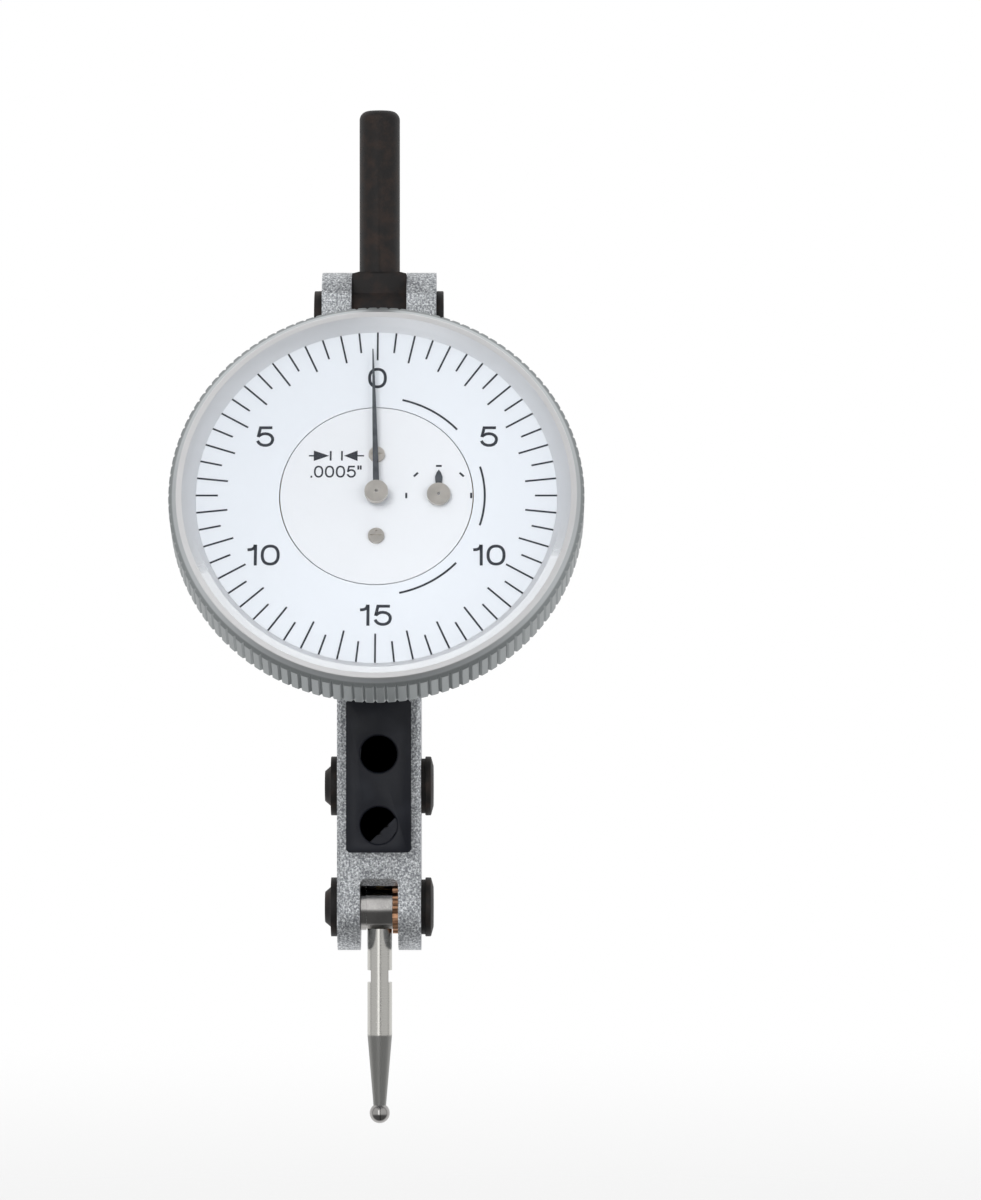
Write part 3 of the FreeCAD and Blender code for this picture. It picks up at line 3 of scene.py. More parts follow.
import bmesh
import bpy
from mathutils import Matrix, Vector
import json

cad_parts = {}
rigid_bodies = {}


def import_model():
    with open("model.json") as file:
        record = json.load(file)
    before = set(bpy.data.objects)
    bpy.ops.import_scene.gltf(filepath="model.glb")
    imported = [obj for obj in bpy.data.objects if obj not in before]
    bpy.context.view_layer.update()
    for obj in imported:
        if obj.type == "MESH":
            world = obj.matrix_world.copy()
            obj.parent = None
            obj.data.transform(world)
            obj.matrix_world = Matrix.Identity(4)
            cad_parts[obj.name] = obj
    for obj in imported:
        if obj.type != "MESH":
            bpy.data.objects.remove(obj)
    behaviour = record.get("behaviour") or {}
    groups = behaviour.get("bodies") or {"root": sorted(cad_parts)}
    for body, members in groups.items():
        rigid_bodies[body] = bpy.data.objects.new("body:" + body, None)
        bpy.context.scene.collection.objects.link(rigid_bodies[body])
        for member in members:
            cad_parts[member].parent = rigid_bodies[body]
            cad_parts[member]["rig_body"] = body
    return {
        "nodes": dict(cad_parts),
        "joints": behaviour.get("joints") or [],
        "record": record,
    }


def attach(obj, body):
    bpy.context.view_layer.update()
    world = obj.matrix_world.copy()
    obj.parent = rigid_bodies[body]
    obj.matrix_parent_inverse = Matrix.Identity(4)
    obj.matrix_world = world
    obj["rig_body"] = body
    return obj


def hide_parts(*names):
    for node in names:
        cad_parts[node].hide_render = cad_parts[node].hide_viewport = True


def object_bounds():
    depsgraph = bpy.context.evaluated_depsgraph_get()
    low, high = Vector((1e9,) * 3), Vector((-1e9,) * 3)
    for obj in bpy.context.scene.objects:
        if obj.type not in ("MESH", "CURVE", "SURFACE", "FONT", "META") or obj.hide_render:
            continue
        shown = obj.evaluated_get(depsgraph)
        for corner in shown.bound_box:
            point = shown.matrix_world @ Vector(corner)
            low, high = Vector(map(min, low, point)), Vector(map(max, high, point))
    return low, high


# Dial test indicator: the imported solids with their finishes, softened edges and the dial's print.

for leftover in list(bpy.data.objects):
    bpy.data.objects.remove(leftover, do_unlink=True)
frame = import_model()
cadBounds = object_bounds()
nodes = frame["nodes"]
joints = {joint["name"]: joint for joint in frame["joints"]}
print("frame loaded,", len(nodes), "nodes")

mm = 0.001
dialIn = Vector(joints["hand_turn"]["axis"])
dialOut = -dialIn
dialRight = Vector((1, 0, 0))
dialUp = dialOut.cross(dialRight)
dialCentre = Vector(joints["hand_turn"]["pos_m"])
counterCentre = Vector(joints["counter_turn"]["pos_m"])
dialPlace = Matrix.Translation(dialCentre) @ Matrix((dialRight, dialUp, dialOut)).transposed().to_4x4()


# Finishes

def opaque(value):
    return (*value, 1) if isinstance(value, tuple) else value


class Reading:  # a socket that can be used in plain arithmetic
    def __init__(self, owner, socket):
        self.owner = owner
        self.socket = socket

    def __add__(self, other):
        return self.owner.maths("ADD", self, other)

    def __sub__(self, other):
        return self.owner.maths("SUBTRACT", self, other)

    def __rsub__(self, other):
        return self.owner.maths("SUBTRACT", other, self)

    def __mul__(self, other):
        return self.owner.maths("MULTIPLY", self, other)

    __radd__ = __add__
    __rmul__ = __mul__


class NodeTree:  # an empty node tree and short calls that fill it
    def __init__(self, tree):
        self.tree = tree
        self.tree.nodes.clear()
        self.placed = None

    def feed(self, socket, value):
        if isinstance(value, Reading):
            self.tree.links.new(value.socket, socket)
        else:
            socket.default_value = value

    def node(self, kind, settings, sockets, result=0):
        made = self.tree.nodes.new(kind)
        for name, value in settings.items():
            setattr(made, name, value)
        for name, value in sockets.items():
            self.feed(made.inputs[name], value)
        return Reading(self, made.outputs[result])

    def maths(self, operation, *values):
        return self.node("ShaderNodeMath", {"operation": operation}, dict(enumerate(values)))

    def clamped(self, value, low, high, outLow=0.0, outHigh=1.0):
        sockets = {"Value": value, "From Min": low, "From Max": high, "To Min": outLow, "To Max": outHigh}
        return self.node("ShaderNodeMapRange", {"interpolation_type": "SMOOTHSTEP"}, sockets)

    def point(self):  # the place on the object, in millimetres
        if self.placed is None:
            here = self.node("ShaderNodeTexCoord", {}, {}, "Object")
            sockets = {0: here, "Scale": 1 / mm}
            self.placed = self.node("ShaderNodeVectorMath", {"operation": "SCALE"}, sockets)
        return self.placed

    def along(self, direction, origin=Vector()):  # millimetres from origin along a direction
        sockets = {0: self.point(), 1: tuple(direction)}
        reach = self.node("ShaderNodeVectorMath", {"operation": "DOT_PRODUCT"}, sockets, "Value")
        return reach - origin.dot(direction) / mm

    def fromAxis(self, origin, across, upward):  # millimetres from an axis
        side = self.along(across, origin)
        rise = self.along(upward, origin)
        return self.maths("SQRT", side * side + rise * rise)

    def noise(self, size, detail=2.0, rough=0.5):  # size in millimetres
        sockets = {"Vector": self.point(), "Scale": 1 / size, "Detail": detail, "Roughness": rough}
        return self.node("ShaderNodeTexNoise", {}, sockets, "Fac")

    def noise1d(self, reading, size, detail=2.0):
        sockets = {"W": reading, "Scale": 1 / size, "Detail": detail}
        return self.node("ShaderNodeTexNoise", {"noise_dimensions": "1D"}, sockets, "Fac")

    def grains(self, size):
        sockets = {"Vector": self.point(), "Scale": 1 / size}
        return self.node("ShaderNodeTexVoronoi", {}, sockets, "Distance")

    def mixed(self, share, first, second):  # sockets 6 and 7 of a Mix node are its colours
        sockets = {0: share, 6: opaque(first), 7: opaque(second)}
        return self.node("ShaderNodeMix", {"data_type": "RGBA"}, sockets, 2)

    def blended(self, share, first, second):
        return self.node("ShaderNodeMixShader", {}, {0: share, 1: first, 2: second})

    def bump(self, height, depth):  # depth in millimetres
        return self.node("ShaderNodeBump", {}, {"Distance": depth * mm, "Height": height}, "Normal")


class Finish(NodeTree):  # one material, which starts with a principled shader
    titles = {
        "colour": "Base Color", "roughness": "Roughness", "metal": "Metallic", "normal": "Normal",
        "coat": "Coat Weight", "specular": "Specular IOR Level",
    }

    def __init__(self, name):
        self.material = bpy.data.materials.new(name)
        self.material.use_nodes = True
        super().__init__(self.material.node_tree)
        self.principled = self.tree.nodes.new("ShaderNodeBsdfPrincipled")
        self.shader = Reading(self, self.principled.outputs[0])
        self.output = self.tree.nodes.new("ShaderNodeOutputMaterial")
        self.show(self.shader)

    def show(self, shader):
        self.feed(self.output.inputs["Surface"], shader)

    def surface(self, **looks):
        for name, value in looks.items():
            self.feed(self.principled.inputs[self.titles[name]], opaque(value))
        return self.material


castingLook = {  # grain sizes, depths and radii are in millimetres here and below
    "bright": (0.86, 0.88, 0.90), "middle": (0.50, 0.52, 0.54), "dark": (0.24, 0.25, 0.27),
    "toMiddle": (0.40, 0.52), "toBright": (0.52, 0.64), "grit": 0.20, "broad": 2.5, "depth": 0.045,
}


def satinCasting():
    f = Finish("satinCasting")
    grit = f.noise(castingLook["grit"], 3.0, 0.65)
    spots = f.grains(castingLook["grit"] * 0.9)
    broad = f.noise(castingLook["broad"])
    body = f.mixed(f.clamped(grit, *castingLook["toMiddle"]), castingLook["dark"], castingLook["middle"])
    colour = f.mixed(f.clamped(grit, *castingLook["toBright"]), body, castingLook["bright"])
    return f.surface(
        colour=colour, metal=0.75, roughness=0.34 + 0.14 * grit + 0.06 * broad,
        normal=f.bump(grit + 0.4 * spots, castingLook["depth"]),
    )


# The chamfer and flank colours are painted shade: the bezel is one satin metal, made darker on the sloping
# chamfer and the knurled flank
bezelLook = {
    "colour": (0.80, 0.80, 0.81), "chamferPaintedShade": (0.55, 0.575, 0.59), "flankPaintedShade": (0.30, 0.32, 0.325),
    "chamferFrom": (19.1, 19.2), "flankFrom": (19.45, 19.6),
    "rings": 0.05, "lathe": 0.25, "blast": 0.12, "depth": 0.006,
}


def satinBezel():
    f = Finish("satinBezel")
    radius = f.fromAxis(dialCentre, dialRight, dialUp)
    rise = f.along(dialOut, dialCentre)
    rings = f.noise1d(radius + 0.7 * rise, bezelLook["rings"])
    lathe = f.noise1d(radius, bezelLook["lathe"], 3.0)
    blast = f.noise(bezelLook["blast"])
    onFlank = f.clamped(radius, *bezelLook["flankFrom"])
    onChamfer = f.clamped(radius, *bezelLook["chamferFrom"])
    # painted shade: darker from the chamfer radius and darker again from the flank radius; the flank is also
    # rougher
    faceAndPaintedChamferShade = f.mixed(onChamfer, bezelLook["colour"], bezelLook["chamferPaintedShade"])
    return f.surface(
        colour=f.mixed(onFlank, faceAndPaintedChamferShade, bezelLook["flankPaintedShade"]), metal=0.85,
        roughness=0.22 + 0.08 * lathe + 0.12 * blast + 0.1 * onFlank,
        normal=f.bump(0.6 * rings + 0.4 * blast, bezelLook["depth"]),
    )


dialLook = {
    "ring": (0.80, 0.82, 0.85), "centre": (0.81, 0.815, 0.83), "shade": (0.7, 0.72, 0.76),
    "centreRadius": 9.25, "cloud": 6.0, "fine": 0.08, "depth": 0.002,
}


def dialEnamel():
    f = Finish("dialEnamel")
    radius = f.fromAxis(dialCentre, dialRight, dialUp)
    inCentre = f.maths("LESS_THAN", radius, dialLook["centreRadius"])
    cloud = f.noise(dialLook["cloud"])
    fine = f.noise(dialLook["fine"])
    colour = f.mixed(inCentre, dialLook["ring"], dialLook["centre"])
    return f.surface(
        colour=f.mixed(0.06 * cloud, colour, dialLook["shade"]), metal=0.0, roughness=0.42 + 0.1 * fine,
        normal=f.bump(fine, dialLook["depth"]),
    )


oxideLook = {
    "colour": (0.010, 0.009, 0.009), "brown": (0.024, 0.016, 0.013),
    "mottle": 1.6, "fine": 0.12, "depth": 0.010,
}


def blackOxide():
    f = Finish("blackOxide")
    mottle = f.noise(oxideLook["mottle"], 4.0, 0.6)
    fine = f.noise(oxideLook["fine"], 3.0)
    return f.surface(
        colour=f.mixed(f.clamped(mottle, 0.4, 0.7), oxideLook["colour"], oxideLook["brown"]), metal=0.0,
        roughness=0.44 + 0.16 * fine + 0.1 * mottle, normal=f.bump(fine, oxideLook["depth"]), specular=0.32,
    )


railLook = {
    "colour": (0.006, 0.007, 0.011), "worn": (0.014, 0.016, 0.022),
    "milled": 0.06, "fine": 0.15, "cloud": 3.0, "depth": 0.006,
}


def blueBlack():
    f = Finish("blueBlack")
    milled = f.noise1d(f.along(dialRight), railLook["milled"])
    fine = f.noise(railLook["fine"], 3.0)
    wear = f.clamped(f.noise(railLook["cloud"]), 0.45, 0.75, 0.0, 0.6)
    return f.surface(
        colour=f.mixed(wear, railLook["colour"], railLook["worn"]), metal=0.0, roughness=0.34 + 0.14 * fine,
        normal=f.bump(0.5 * milled + 0.5 * fine, railLook["depth"]), specular=0.30,
    )


def plainMetal(name, colour, roughness, grain, depth, tint=0.7, metal=1.0):
    f = Finish(name)
    fine = f.noise(grain, 3.0)
    cloud = f.noise(grain * 14)
    shade = tuple(tint * part for part in colour)
    return f.surface(
        colour=f.mixed(f.clamped(cloud, 0.3, 0.7), colour, shade), metal=metal,
        roughness=roughness + 0.1 * (fine - 0.5), normal=f.bump(fine, depth),
    )


rubyLook = {"deep": (0.45, 0.01, 0.05), "light": (0.65, 0.03, 0.10), "cloud": 0.5}


def ruby():
    f = Finish("ruby")
    cloud = f.noise(rubyLook["cloud"])
    colour = f.mixed(cloud, rubyLook["deep"], rubyLook["light"])
    return f.surface(colour=colour, metal=0.0, roughness=0.08 + 0.04 * cloud, coat=0.6)


contactLook = {
    "shank": (0.58, 0.57, 0.54), "tip": (0.30, 0.30, 0.29), "taperStart": -75.0, "blend": 0.15,
    "ground": 0.05, "fine": 0.1, "depth": 0.004,
}


def contactSteel():
    f = Finish("contactSteel")
    height = f.along((0, 0, 1))
    start, blend = contactLook["taperStart"], contactLook["blend"]
    onTaper = 1 - f.clamped(height, start - blend, start + blend)
    ground = f.noise1d(height, contactLook["ground"])
    fine = f.noise(contactLook["fine"], 3.0)
    return f.surface(
        colour=f.mixed(onTaper, contactLook["shank"], contactLook["tip"]), metal=1.0,
        roughness=0.20 + 0.18 * onTaper + 0.1 * ground,
        normal=f.bump(0.6 * ground + 0.4 * fine, contactLook["depth"]),
    )


crystalLook = {
    "clear": (0.985, 0.99, 0.995), "sheen": (0.95, 0.96, 0.97),
    "index": 1.45, "share": 0.75, "smear": 5.0,
}


def crystalClear():
    f = Finish("crystalClear")
    f.material.surface_render_method = "BLENDED"
    clear = f.node("ShaderNodeBsdfTransparent", {}, {"Color": opaque(crystalLook["clear"])})
    smear = f.noise(crystalLook["smear"], 3.0)
    sheen = f.node("ShaderNodeFresnel", {}, {"IOR": crystalLook["index"]})
    share = f.clamped(sheen, 0.0, 1.0, 0.0, crystalLook["share"])
    f.surface(colour=crystalLook["sheen"], roughness=0.03 + 0.05 * smear, metal=0.0)
    f.show(f.blended(share, clear, f.shader))
    return f.material


inkLook = {"dark": (0.018, 0.020, 0.027), "light": (0.030, 0.033, 0.043), "fine": 0.1}


def dialInk():
    f = Finish("dialInk")
    fine = f.noise(inkLook["fine"])
    return f.surface(colour=f.mixed(fine, inkLook["dark"], inkLook["light"]), roughness=0.5 + 0.1 * fine)


finishes = {
    "satin_casting": satinCasting(),
    "blue_black_steel": blueBlack(),
    "black_steel": blackOxide(),
    "bearing_steel": plainMetal("bearingSteel", (0.55, 0.55, 0.56), 0.25, 0.1, 0.003),
    "satin_bezel": satinBezel(),
    "dial_enamel": dialEnamel(),
    "clear_crystal": crystalClear(),
    "nickel": plainMetal("nickel", (0.66, 0.62, 0.57), 0.34, 0.08, 0.004, 0.85),
    "gilt_brass": plainMetal("giltBrass", (0.70, 0.52, 0.25), 0.3, 0.1, 0.004, 0.8),
    "ruby": ruby(),
    "spring_bronze": plainMetal("springBronze", (0.62, 0.34, 0.20), 0.35, 0.12, 0.012, 0.6),
    "hand_black": plainMetal("handBlack", (0.13, 0.14, 0.155), 0.36, 0.06, 0.002, 0.7, 0.8),
    "polished_steel": plainMetal("polishedSteel", (0.42, 0.41, 0.40), 0.12, 0.1, 0.002, 0.8),
    "carbide_steel": contactSteel(),
}
slotOf = {row["node"]: row["material_slot"] for row in frame["record"]["subparts"]}
for name, piece in nodes.items():
    for spot in piece.material_slots:
        spot.material = finishes[slotOf[name]]
print("finishes made,", len(finishes))


# Softened edges

def addPiece(name, mesh, body, material):
    piece = bpy.data.objects.new(name, mesh)
    bpy.context.scene.collection.objects.link(piece)
    mesh.materials.clear()
    mesh.materials.append(material)
    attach(piece, body)
    return piece


edges = {  # node: radius of its edges in millimetres
    "body_casting": 0.28, "front_dovetail": 0.08, "rear_dovetail": 0.08,
    "stem": 0.12, "swivel_bolt": 0.10, "swivel_nut": 0.10, "lever_pivot_bush": 0.10,
    "lever_pivot_screw": 0.10, "contact_pivot_bush": 0.10, "contact_pivot_screw": 0.10,
}
softening = {"merge": 0.001, "flat": 0.6, "edge": 32, "smooth": 38, "segments": 2}  # millimetres, degrees


def softened(name, radius):
    mesh = nodes[name].data.copy()
    rough = bmesh.new()
    rough.from_mesh(mesh)
    bmesh.ops.remove_doubles(rough, verts=rough.verts, dist=softening["merge"] * mm)
    flat = math.radians(softening["flat"])
    bmesh.ops.dissolve_limit(rough, angle_limit=flat, verts=rough.verts, edges=rough.edges)
    rough.to_mesh(mesh)
    rough.free()
    piece = addPiece(name + "_soft", mesh, nodes[name].get("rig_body"), finishes[slotOf[name]])
    bevel = piece.modifiers.new("edge", "BEVEL")
    bevel.width = radius * mm
    bevel.segments = softening["segments"]
    bevel.limit_method = "ANGLE"
    bevel.angle_limit = math.radians(softening["edge"])
    bevel.use_clamp_overlap = True
    bpy.context.view_layer.update()
    solid = bpy.data.meshes.new_from_object(piece.evaluated_get(bpy.context.evaluated_depsgraph_get()))
    piece.modifiers.clear()
    piece.data = solid
    solid.shade_smooth()
    solid.set_sharp_from_angle(angle=math.radians(softening["smooth"]))
    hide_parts(name)


for name, radius in edges.items():
    softened(name, radius)
print("edges softened,", len(edges))


# Dial print

ink = dialInk()
marks = {  # millimetres and degrees
    "longInner": 14.29, "shortInner": 15.15, "outer": 17.27, "width": 0.18, "each": 30, "thick": 0.02,
    "step": 12, "counterRadius": 3.1, "counterLength": 0.56, "counterWidth": 0.2, "counterEach": 5,
    "counterFirst": -90, "counterStep": 45,
}


def markTree():
    tree = bpy.data.node_groups.new("scaleMarks", "GeometryNodeTree")
    tree.interface.new_socket("Geometry", in_out="OUTPUT", socket_type="NodeSocketGeometry")
    for name, kind in (
        ("Count", "NodeSocketInt"), ("First angle", "NodeSocketFloat"), ("Step angle", "NodeSocketFloat"),
        ("Middle radius", "NodeSocketFloat"), ("Size", "NodeSocketVector"), ("Ink", "NodeSocketMaterial"),
    ):
        tree.interface.new_socket(name, in_out="INPUT", socket_type=kind)
    made = {}

    def add(label, kind, **settings):
        made[label] = tree.nodes.new(kind)
        for key, value in settings.items():
            setattr(made[label], key, value)
        return made[label]

    def link(start, startSocket, end, endSocket):
        tree.links.new(made[start].outputs[startSocket], made[end].inputs[endSocket])

    add("in", "NodeGroupInput")
    add("out", "NodeGroupOutput")
    add("points", "GeometryNodeMeshLine")
    made["points"].inputs["Offset"].default_value = (0, 0, 0)
    add("mark", "GeometryNodeMeshCube")
    add("shift", "GeometryNodeTransform")
    add("shiftBy", "ShaderNodeCombineXYZ")
    add("place", "GeometryNodeInstanceOnPoints")
    add("index", "GeometryNodeInputIndex")
    add("times", "ShaderNodeMath", operation="MULTIPLY")
    add("angle", "ShaderNodeMath", operation="ADD")
    add("turn", "ShaderNodeCombineXYZ")
    add("toTurn", "FunctionNodeEulerToRotation")
    add("real", "GeometryNodeRealizeInstances")
    add("paint", "GeometryNodeSetMaterial")
    link("in", "Count", "points", "Count")
    link("in", "Size", "mark", "Size")
    link("mark", "Mesh", "shift", "Geometry")
    link("in", "Middle radius", "shiftBy", "Y")
    link("shiftBy", 0, "shift", "Translation")
    link("points", 0, "place", "Points")
    link("shift", 0, "place", "Instance")
    link("index", 0, "times", 0)
    link("in", "Step angle", "times", 1)
    link("times", 0, "angle", 0)
    link("in", "First angle", "angle", 1)
    link("angle", 0, "turn", "Z")
    link("turn", 0, "toTurn", 0)
    link("toTurn", 0, "place", "Rotation")
    link("place", 0, "real", 0)
    link("real", 0, "paint", "Geometry")
    link("in", "Ink", "paint", "Material")
    link("paint", 0, "out", 0)
    return tree


scaleMarks = markTree()


def markRing(count, first, step, middle, size):
    holder = bpy.data.objects.new("marks", bpy.data.meshes.new("marks"))
    bpy.context.scene.collection.objects.link(holder)
    nodesOn = holder.modifiers.new("marks", "NODES")
    nodesOn.node_group = scaleMarks
    wanted = {"Count": count, "First angle": math.radians(first), "Step angle": math.radians(step),
              "Middle radius": middle * mm, "Size": [part * mm for part in size], "Ink": ink}
    for item in scaleMarks.interface.items_tree:
        if item.in_out == "INPUT":
            nodesOn[item.identifier] = wanted[item.name]
    bpy.context.view_layer.update()
    mesh = bpy.data.meshes.new_from_object(holder.evaluated_get(bpy.context.evaluated_depsgraph_get()))
    bpy.data.objects.remove(holder)
    return mesh


def ribbon(sheet, points, width, closed=False):  # a flat stroke along points, in millimetres on the dial
    pairs = []
    count = len(points)
    for i, (x, y) in enumerate(points):
        before = points[i - 1] if closed or i else points[i]
        after = points[(i + 1) % count] if closed or i < count - 1 else points[i]
        first = Vector((x - before[0], y - before[1]))
        second = Vector((after[0] - x, after[1] - y))
        first = (first if first.length > 1e-9 else second).normalized()
        second = (second if second.length > 1e-9 else first).normalized()
        along = (first + second).normalized()
        side = Vector((-along.y, along.x)) * (width / 2 / max(0.5, along.dot(first)))
        pairs.append([sheet.verts.new(((x + k * side.x) * mm, (y + k * side.y) * mm, 0)) for k in (1, -1)])
    spans = list(zip(pairs, pairs[1:])) + ([(pairs[-1], pairs[0])] if closed else [])
    for (a, b), (c, d) in spans:
        sheet.faces.new((a, b, d, c))


def inkPiece(name, sheet, body, extra=()):  # gives the flat strokes their thickness and puts them on the dial
    thick = marks["thick"] * mm
    raised = bmesh.ops.extrude_face_region(sheet, geom=list(sheet.faces))
    moved = [part for part in raised["geom"] if isinstance(part, bmesh.types.BMVert)]
    bmesh.ops.translate(sheet, verts=moved, vec=(0, 0, thick))
    for mesh in extra:
        mesh.transform(Matrix.Translation((0, 0, thick / 2)))
        sheet.from_mesh(mesh)
    bmesh.ops.recalc_face_normals(sheet, faces=sheet.faces)
    mesh = bpy.data.meshes.new(name)
    sheet.to_mesh(mesh)
    sheet.free()
    mesh.transform(dialPlace)
    return addPiece(name, mesh, body, ink)


numerals = {  # strokes on a box 1 high, with each figure's width; the 0 is worked out in zeroOutline
    "0": (0.84, None),
    "1": (0.47, [
        [(0.05, 0.755), (0.20, 0.765), (0.31, 0.81), (0.37, 0.90), (0.385, 1.0)],
        [(0.405, 0.0), (0.405, 1.0)],
    ]),
    "5": (0.82, [
        [(0.73, 0.93), (0.20, 0.93), (0.10, 0.47)],
        [(0.115, 0.50), (0.20, 0.575), (0.30, 0.625), (0.42, 0.64), (0.56, 0.615), (0.67, 0.545),
         (0.74, 0.44), (0.75, 0.33), (0.71, 0.20), (0.62, 0.11), (0.49, 0.065), (0.35, 0.065), (0.22, 0.11),
         (0.13, 0.19), (0.08, 0.29)],
    ]),
    ".": (0.16, [[(0.0, 0.07), (0.15, 0.07)]]),
    "\"": (0.40, [[(0.08, 0.68), (0.08, 1.02)], [(0.30, 0.68), (0.30, 1.02)]]),
}
zeroLook = {"points": 60, "squareness": 0.86}
fullStop = 1.2  # its stroke against the other signs'


def zeroOutline(width, stroke):  # a squarish oval on the box, inside by half a stroke
    across = width / 2 - stroke / 2
    upward = 0.5 - stroke / 2
    points = []
    for i in range(zeroLook["points"]):
        angle = 2 * math.pi * i / zeroLook["points"]
        c, s = math.cos(angle), math.sin(angle)
        points.append((
            width / 2 + across * math.copysign(abs(c) ** zeroLook["squareness"], c),
            0.5 + upward * math.copysign(abs(s) ** zeroLook["squareness"], s),
        ))
    return points


def figure(sheet, text, centre, height, stroke, gap, stretch=1.0):
    wide = sum(numerals[sign][0] * stretch for sign in text) + gap * (len(text) - 1)
    start = -wide / 2
    for sign in text:
        width, strokes = numerals[sign]
        width = width * stretch
        closed = strokes is None
        if closed:
            strokes = [zeroOutline(width, stroke / height)]
        else:
            strokes = [[(x * stretch, y) for x, y in one] for one in strokes]
        thick = stroke * (fullStop if sign == "." else 1)
        for one in strokes:
            placed = [(centre[0] + (start + x) * height, centre[1] + (y - 0.5) * height) for x, y in one]
            ribbon(sheet, placed, thick, closed)
        start += width + gap


def arc(sheet, radius, first, last, width, steps=40):  # degrees clockwise from the top
    points = []
    for i in range(steps + 1):
        angle = math.radians(first + (last - first) * i / steps)
        points.append((radius * math.sin(angle), radius * math.cos(angle)))
    ribbon(sheet, points, width)


scale = {
    "numbers": (("0", 0), ("5", 60), ("10", 120), ("15", 180), ("10", 240), ("5", 300)),
    "numberRadius": 12.4, "height": 2.15, "stroke": 0.29, "gap": 0.17,
    "arcs": ((13.5, 48), (73, 107.5), (132.5, 167.5)), "arcRadius": 10.35, "arcWidth": 0.2,
}


def printOuterDial():
    sheet = bmesh.new()
    for text, angle in scale["numbers"]:
        turn = math.radians(angle)
        centre = (scale["numberRadius"] * math.sin(turn), scale["numberRadius"] * math.cos(turn))
        figure(sheet, text, centre, scale["height"], scale["stroke"], scale["gap"])
    for first, last in scale["arcs"]:
        arc(sheet, scale["arcRadius"], first, last, scale["arcWidth"])
    ticks = []
    for inner, first in ((marks["longInner"], 0), (marks["shortInner"], marks["step"] / 2)):
        size = (marks["width"], marks["outer"] - inner, marks["thick"])
        ticks.append(markRing(marks["each"], first, marks["step"], (inner + marks["outer"]) / 2, size))
    inkPiece("scale_print", sheet, "bezel", ticks)


legend = {
    "text": ".0005\"", "centre": (-3.87, 2.5), "height": 1.24, "stroke": 0.17, "gap": 0.12, "stretch": 0.86,
    "row": 4.17, "bars": (-4.42, -3.34), "barRise": 0.5, "barWidth": 0.17,
    "tails": ((-6.5, -5.9), (-1.84, -1.22)), "tailWidth": 0.14,
    "heads": ((-6.04, -4.56), (-1.84, -3.13)), "headRise": 0.55,
}


def printCentreDial():
    sheet = bmesh.new()
    look = legend
    figure(sheet, look["text"], look["centre"], look["height"], look["stroke"], look["gap"], look["stretch"])
    row = look["row"]
    for x in look["bars"]:
        ribbon(sheet, [(x, row - look["barRise"]), (x, row + look["barRise"])], look["barWidth"])
    for first, last in look["tails"]:
        ribbon(sheet, [(first, row), (last, row)], look["tailWidth"])
    for base, tip in look["heads"]:
        corners = [(base, row - look["headRise"]), (base, row + look["headRise"]), (tip, row)]
        sheet.faces.new([sheet.verts.new((x * mm, y * mm, 0)) for x, y in corners])
    size = (marks["counterLength"], marks["counterWidth"], marks["thick"])
    ticks = markRing(
        marks["counterEach"], marks["counterFirst"], marks["counterStep"], marks["counterRadius"], size
    )
    ticks.transform(Matrix.Translation(((counterCentre - dialCentre).dot(dialRight), 0, 0)))
    inkPiece("centre_print", sheet, "housing", [ticks])


printOuterDial()
printCentreDial()
print("dial printed")


# Floor, lights and camera, in millimetres

stage = {
    "floorDrop": 60, "floorRadius": 900, "floorFade": (250.0, 850.0), "floorGlow": 0.75, "ambient": 0.34,
    "lamps": (
        ("key", (-230, -560, 280), 420, 2.5), ("fill", (420, -480, 40), 360, 1.1),
        ("top", (0, 60, 520), 380, 0.9),
    ),
    "lampsFace": (0, 0, -32), "camera": (10.9, -528.2, -32.2), "lens": 161, "sensor": 36, "clipStart": 10,
}
mirrored = {  # what polished metal sees, by direction: where each tone starts and ends, and its strengths
    "backdrop": (-0.25, 0.35), "lowDark": (-0.45, -0.02, 0.16, 0.80), "highDark": (0.70, 0.95, 1.0, 0.35),
    "stripLeft": (-0.34, -0.26), "stripRight": (-0.06, 0.0, 1.0, 0.0), "stripTop": (0.5, 0.7, 1.0, 0.0),
    "stripFoot": (-0.3, -0.1), "stripGain": 1.3,
    "gapLeft": (0.0, 0.04), "gapRight": (0.14, 0.22, 1.0, 0.0), "gapDepth": 0.7,
}
whiteLight = (1, 1, 1, 1)


def layFloor():
    bpy.ops.mesh.primitive_circle_add(
        vertices=96, radius=stage["floorRadius"] * mm, fill_type="NGON",
        location=(0, 0, cadBounds[0][2] - stage["floorDrop"] * mm),
    )
    floor = bpy.context.object
    floor.name = "floor"
    f = Finish("paleFloor")
    f.surface(colour=(0.9, 0.9, 0.9), roughness=0.9)
    sight = f.node("ShaderNodeLightPath", {}, {}, "Is Camera Ray")
    edge = f.clamped(f.fromAxis(Vector(), Vector((1, 0, 0)), Vector((0, 1, 0))), *stage["floorFade"])
    glow = f.node("ShaderNodeEmission", {}, {"Color": whiteLight, "Strength": 1.0})
    clear = f.node("ShaderNodeBsdfTransparent", {}, {})
    f.show(f.blended(edge, f.blended(stage["floorGlow"] * sight, f.shader, glow), clear))
    floor.data.materials.append(f.material)
    floor.visible_glossy = False


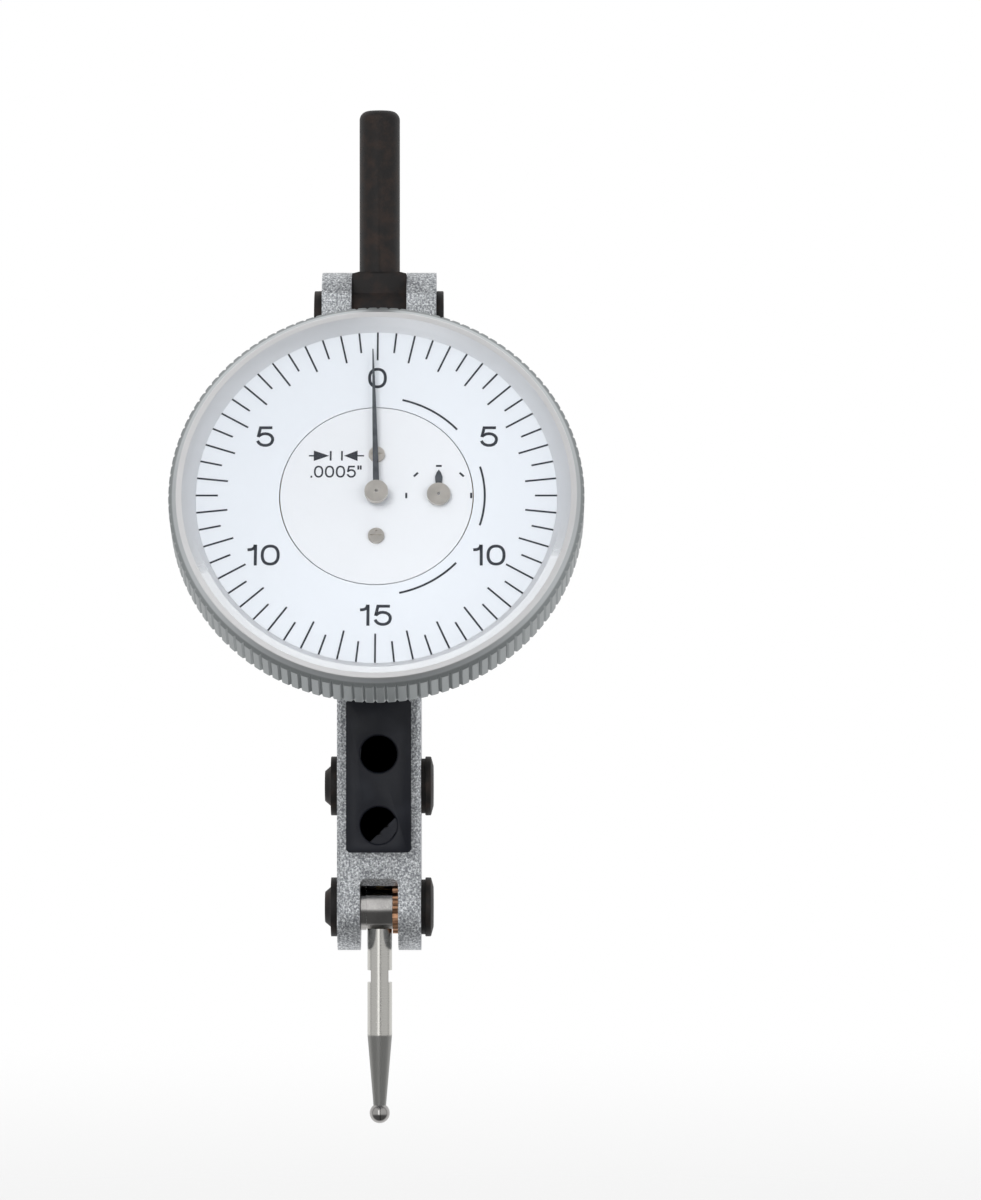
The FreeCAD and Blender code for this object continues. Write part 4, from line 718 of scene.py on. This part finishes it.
def mirroredTone(w):
    direction = w.node("ShaderNodeTexCoord", {}, {}, "Generated")
    side, back, rise = (w.node("ShaderNodeSeparateXYZ", {}, {0: direction}, axis) for axis in "XYZ")

    def tone(reading, name):
        return w.clamped(reading, *mirrored[name])

    behindIt = tone(back, "backdrop")
    belt = tone(rise, "lowDark") * tone(rise, "highDark")
    strip = tone(side, "stripLeft") * tone(side, "stripRight") * tone(rise, "stripTop")
    gap = tone(side, "gapLeft") * tone(side, "gapRight")
    front = belt * (1 - mirrored["gapDepth"] * gap) + mirrored["stripGain"] * strip * tone(rise, "stripFoot")
    return w.maths("MAXIMUM", front * (1 - behindIt), behindIt)


def lightWorld():  # white behind the object, a pattern in polished metal, an even light elsewhere
    world = bpy.data.worlds.new("studio")
    bpy.context.scene.world = world
    world.use_nodes = True
    w = NodeTree(world.node_tree)
    camera, glossy, through = (
        w.node("ShaderNodeLightPath", {}, {}, f"Is {ray} Ray") for ray in ("Camera", "Glossy", "Transmission")
    )
    white = w.maths("MAXIMUM", camera, through)
    level = w.maths("MAXIMUM", white, glossy * mirroredTone(w))
    ambient = (1 - w.maths("MAXIMUM", white, glossy)) * stage["ambient"]
    background = w.node("ShaderNodeBackground", {}, {"Color": whiteLight, "Strength": level + ambient})
    output = w.tree.nodes.new("ShaderNodeOutputWorld")
    w.feed(output.inputs["Surface"], background)


def hangLamps():
    for name, spot, size, power in stage["lamps"]:
        lamp = bpy.data.lights.new(name, "AREA")
        lamp.shape = "SQUARE"
        lamp.size = size * mm
        lamp.energy = power
        holder = bpy.data.objects.new(name, lamp)
        holder.location = Vector(spot) * mm
        facing = Vector(stage["lampsFace"]) * mm - holder.location
        holder.rotation_euler = facing.to_track_quat("-Z", "Y").to_euler()
        holder.visible_glossy = False
        bpy.context.scene.collection.objects.link(holder)


def setCamera():
    lens = bpy.data.cameras.new("camera")
    lens.sensor_fit = "VERTICAL"
    lens.sensor_height = stage["sensor"]
    lens.lens = stage["lens"]
    lens.clip_start = stage["clipStart"] * mm
    shot = bpy.data.objects.new("camera", lens)
    shot.location = Vector(stage["camera"]) * mm
    shot.rotation_euler = (math.radians(90), 0, 0)
    bpy.context.scene.collection.objects.link(shot)
    bpy.context.scene.camera = shot
    bpy.context.scene.view_settings.view_transform = "Standard"


layFloor()
lightWorld()
hangLamps()
setCamera()
print("studio ready")
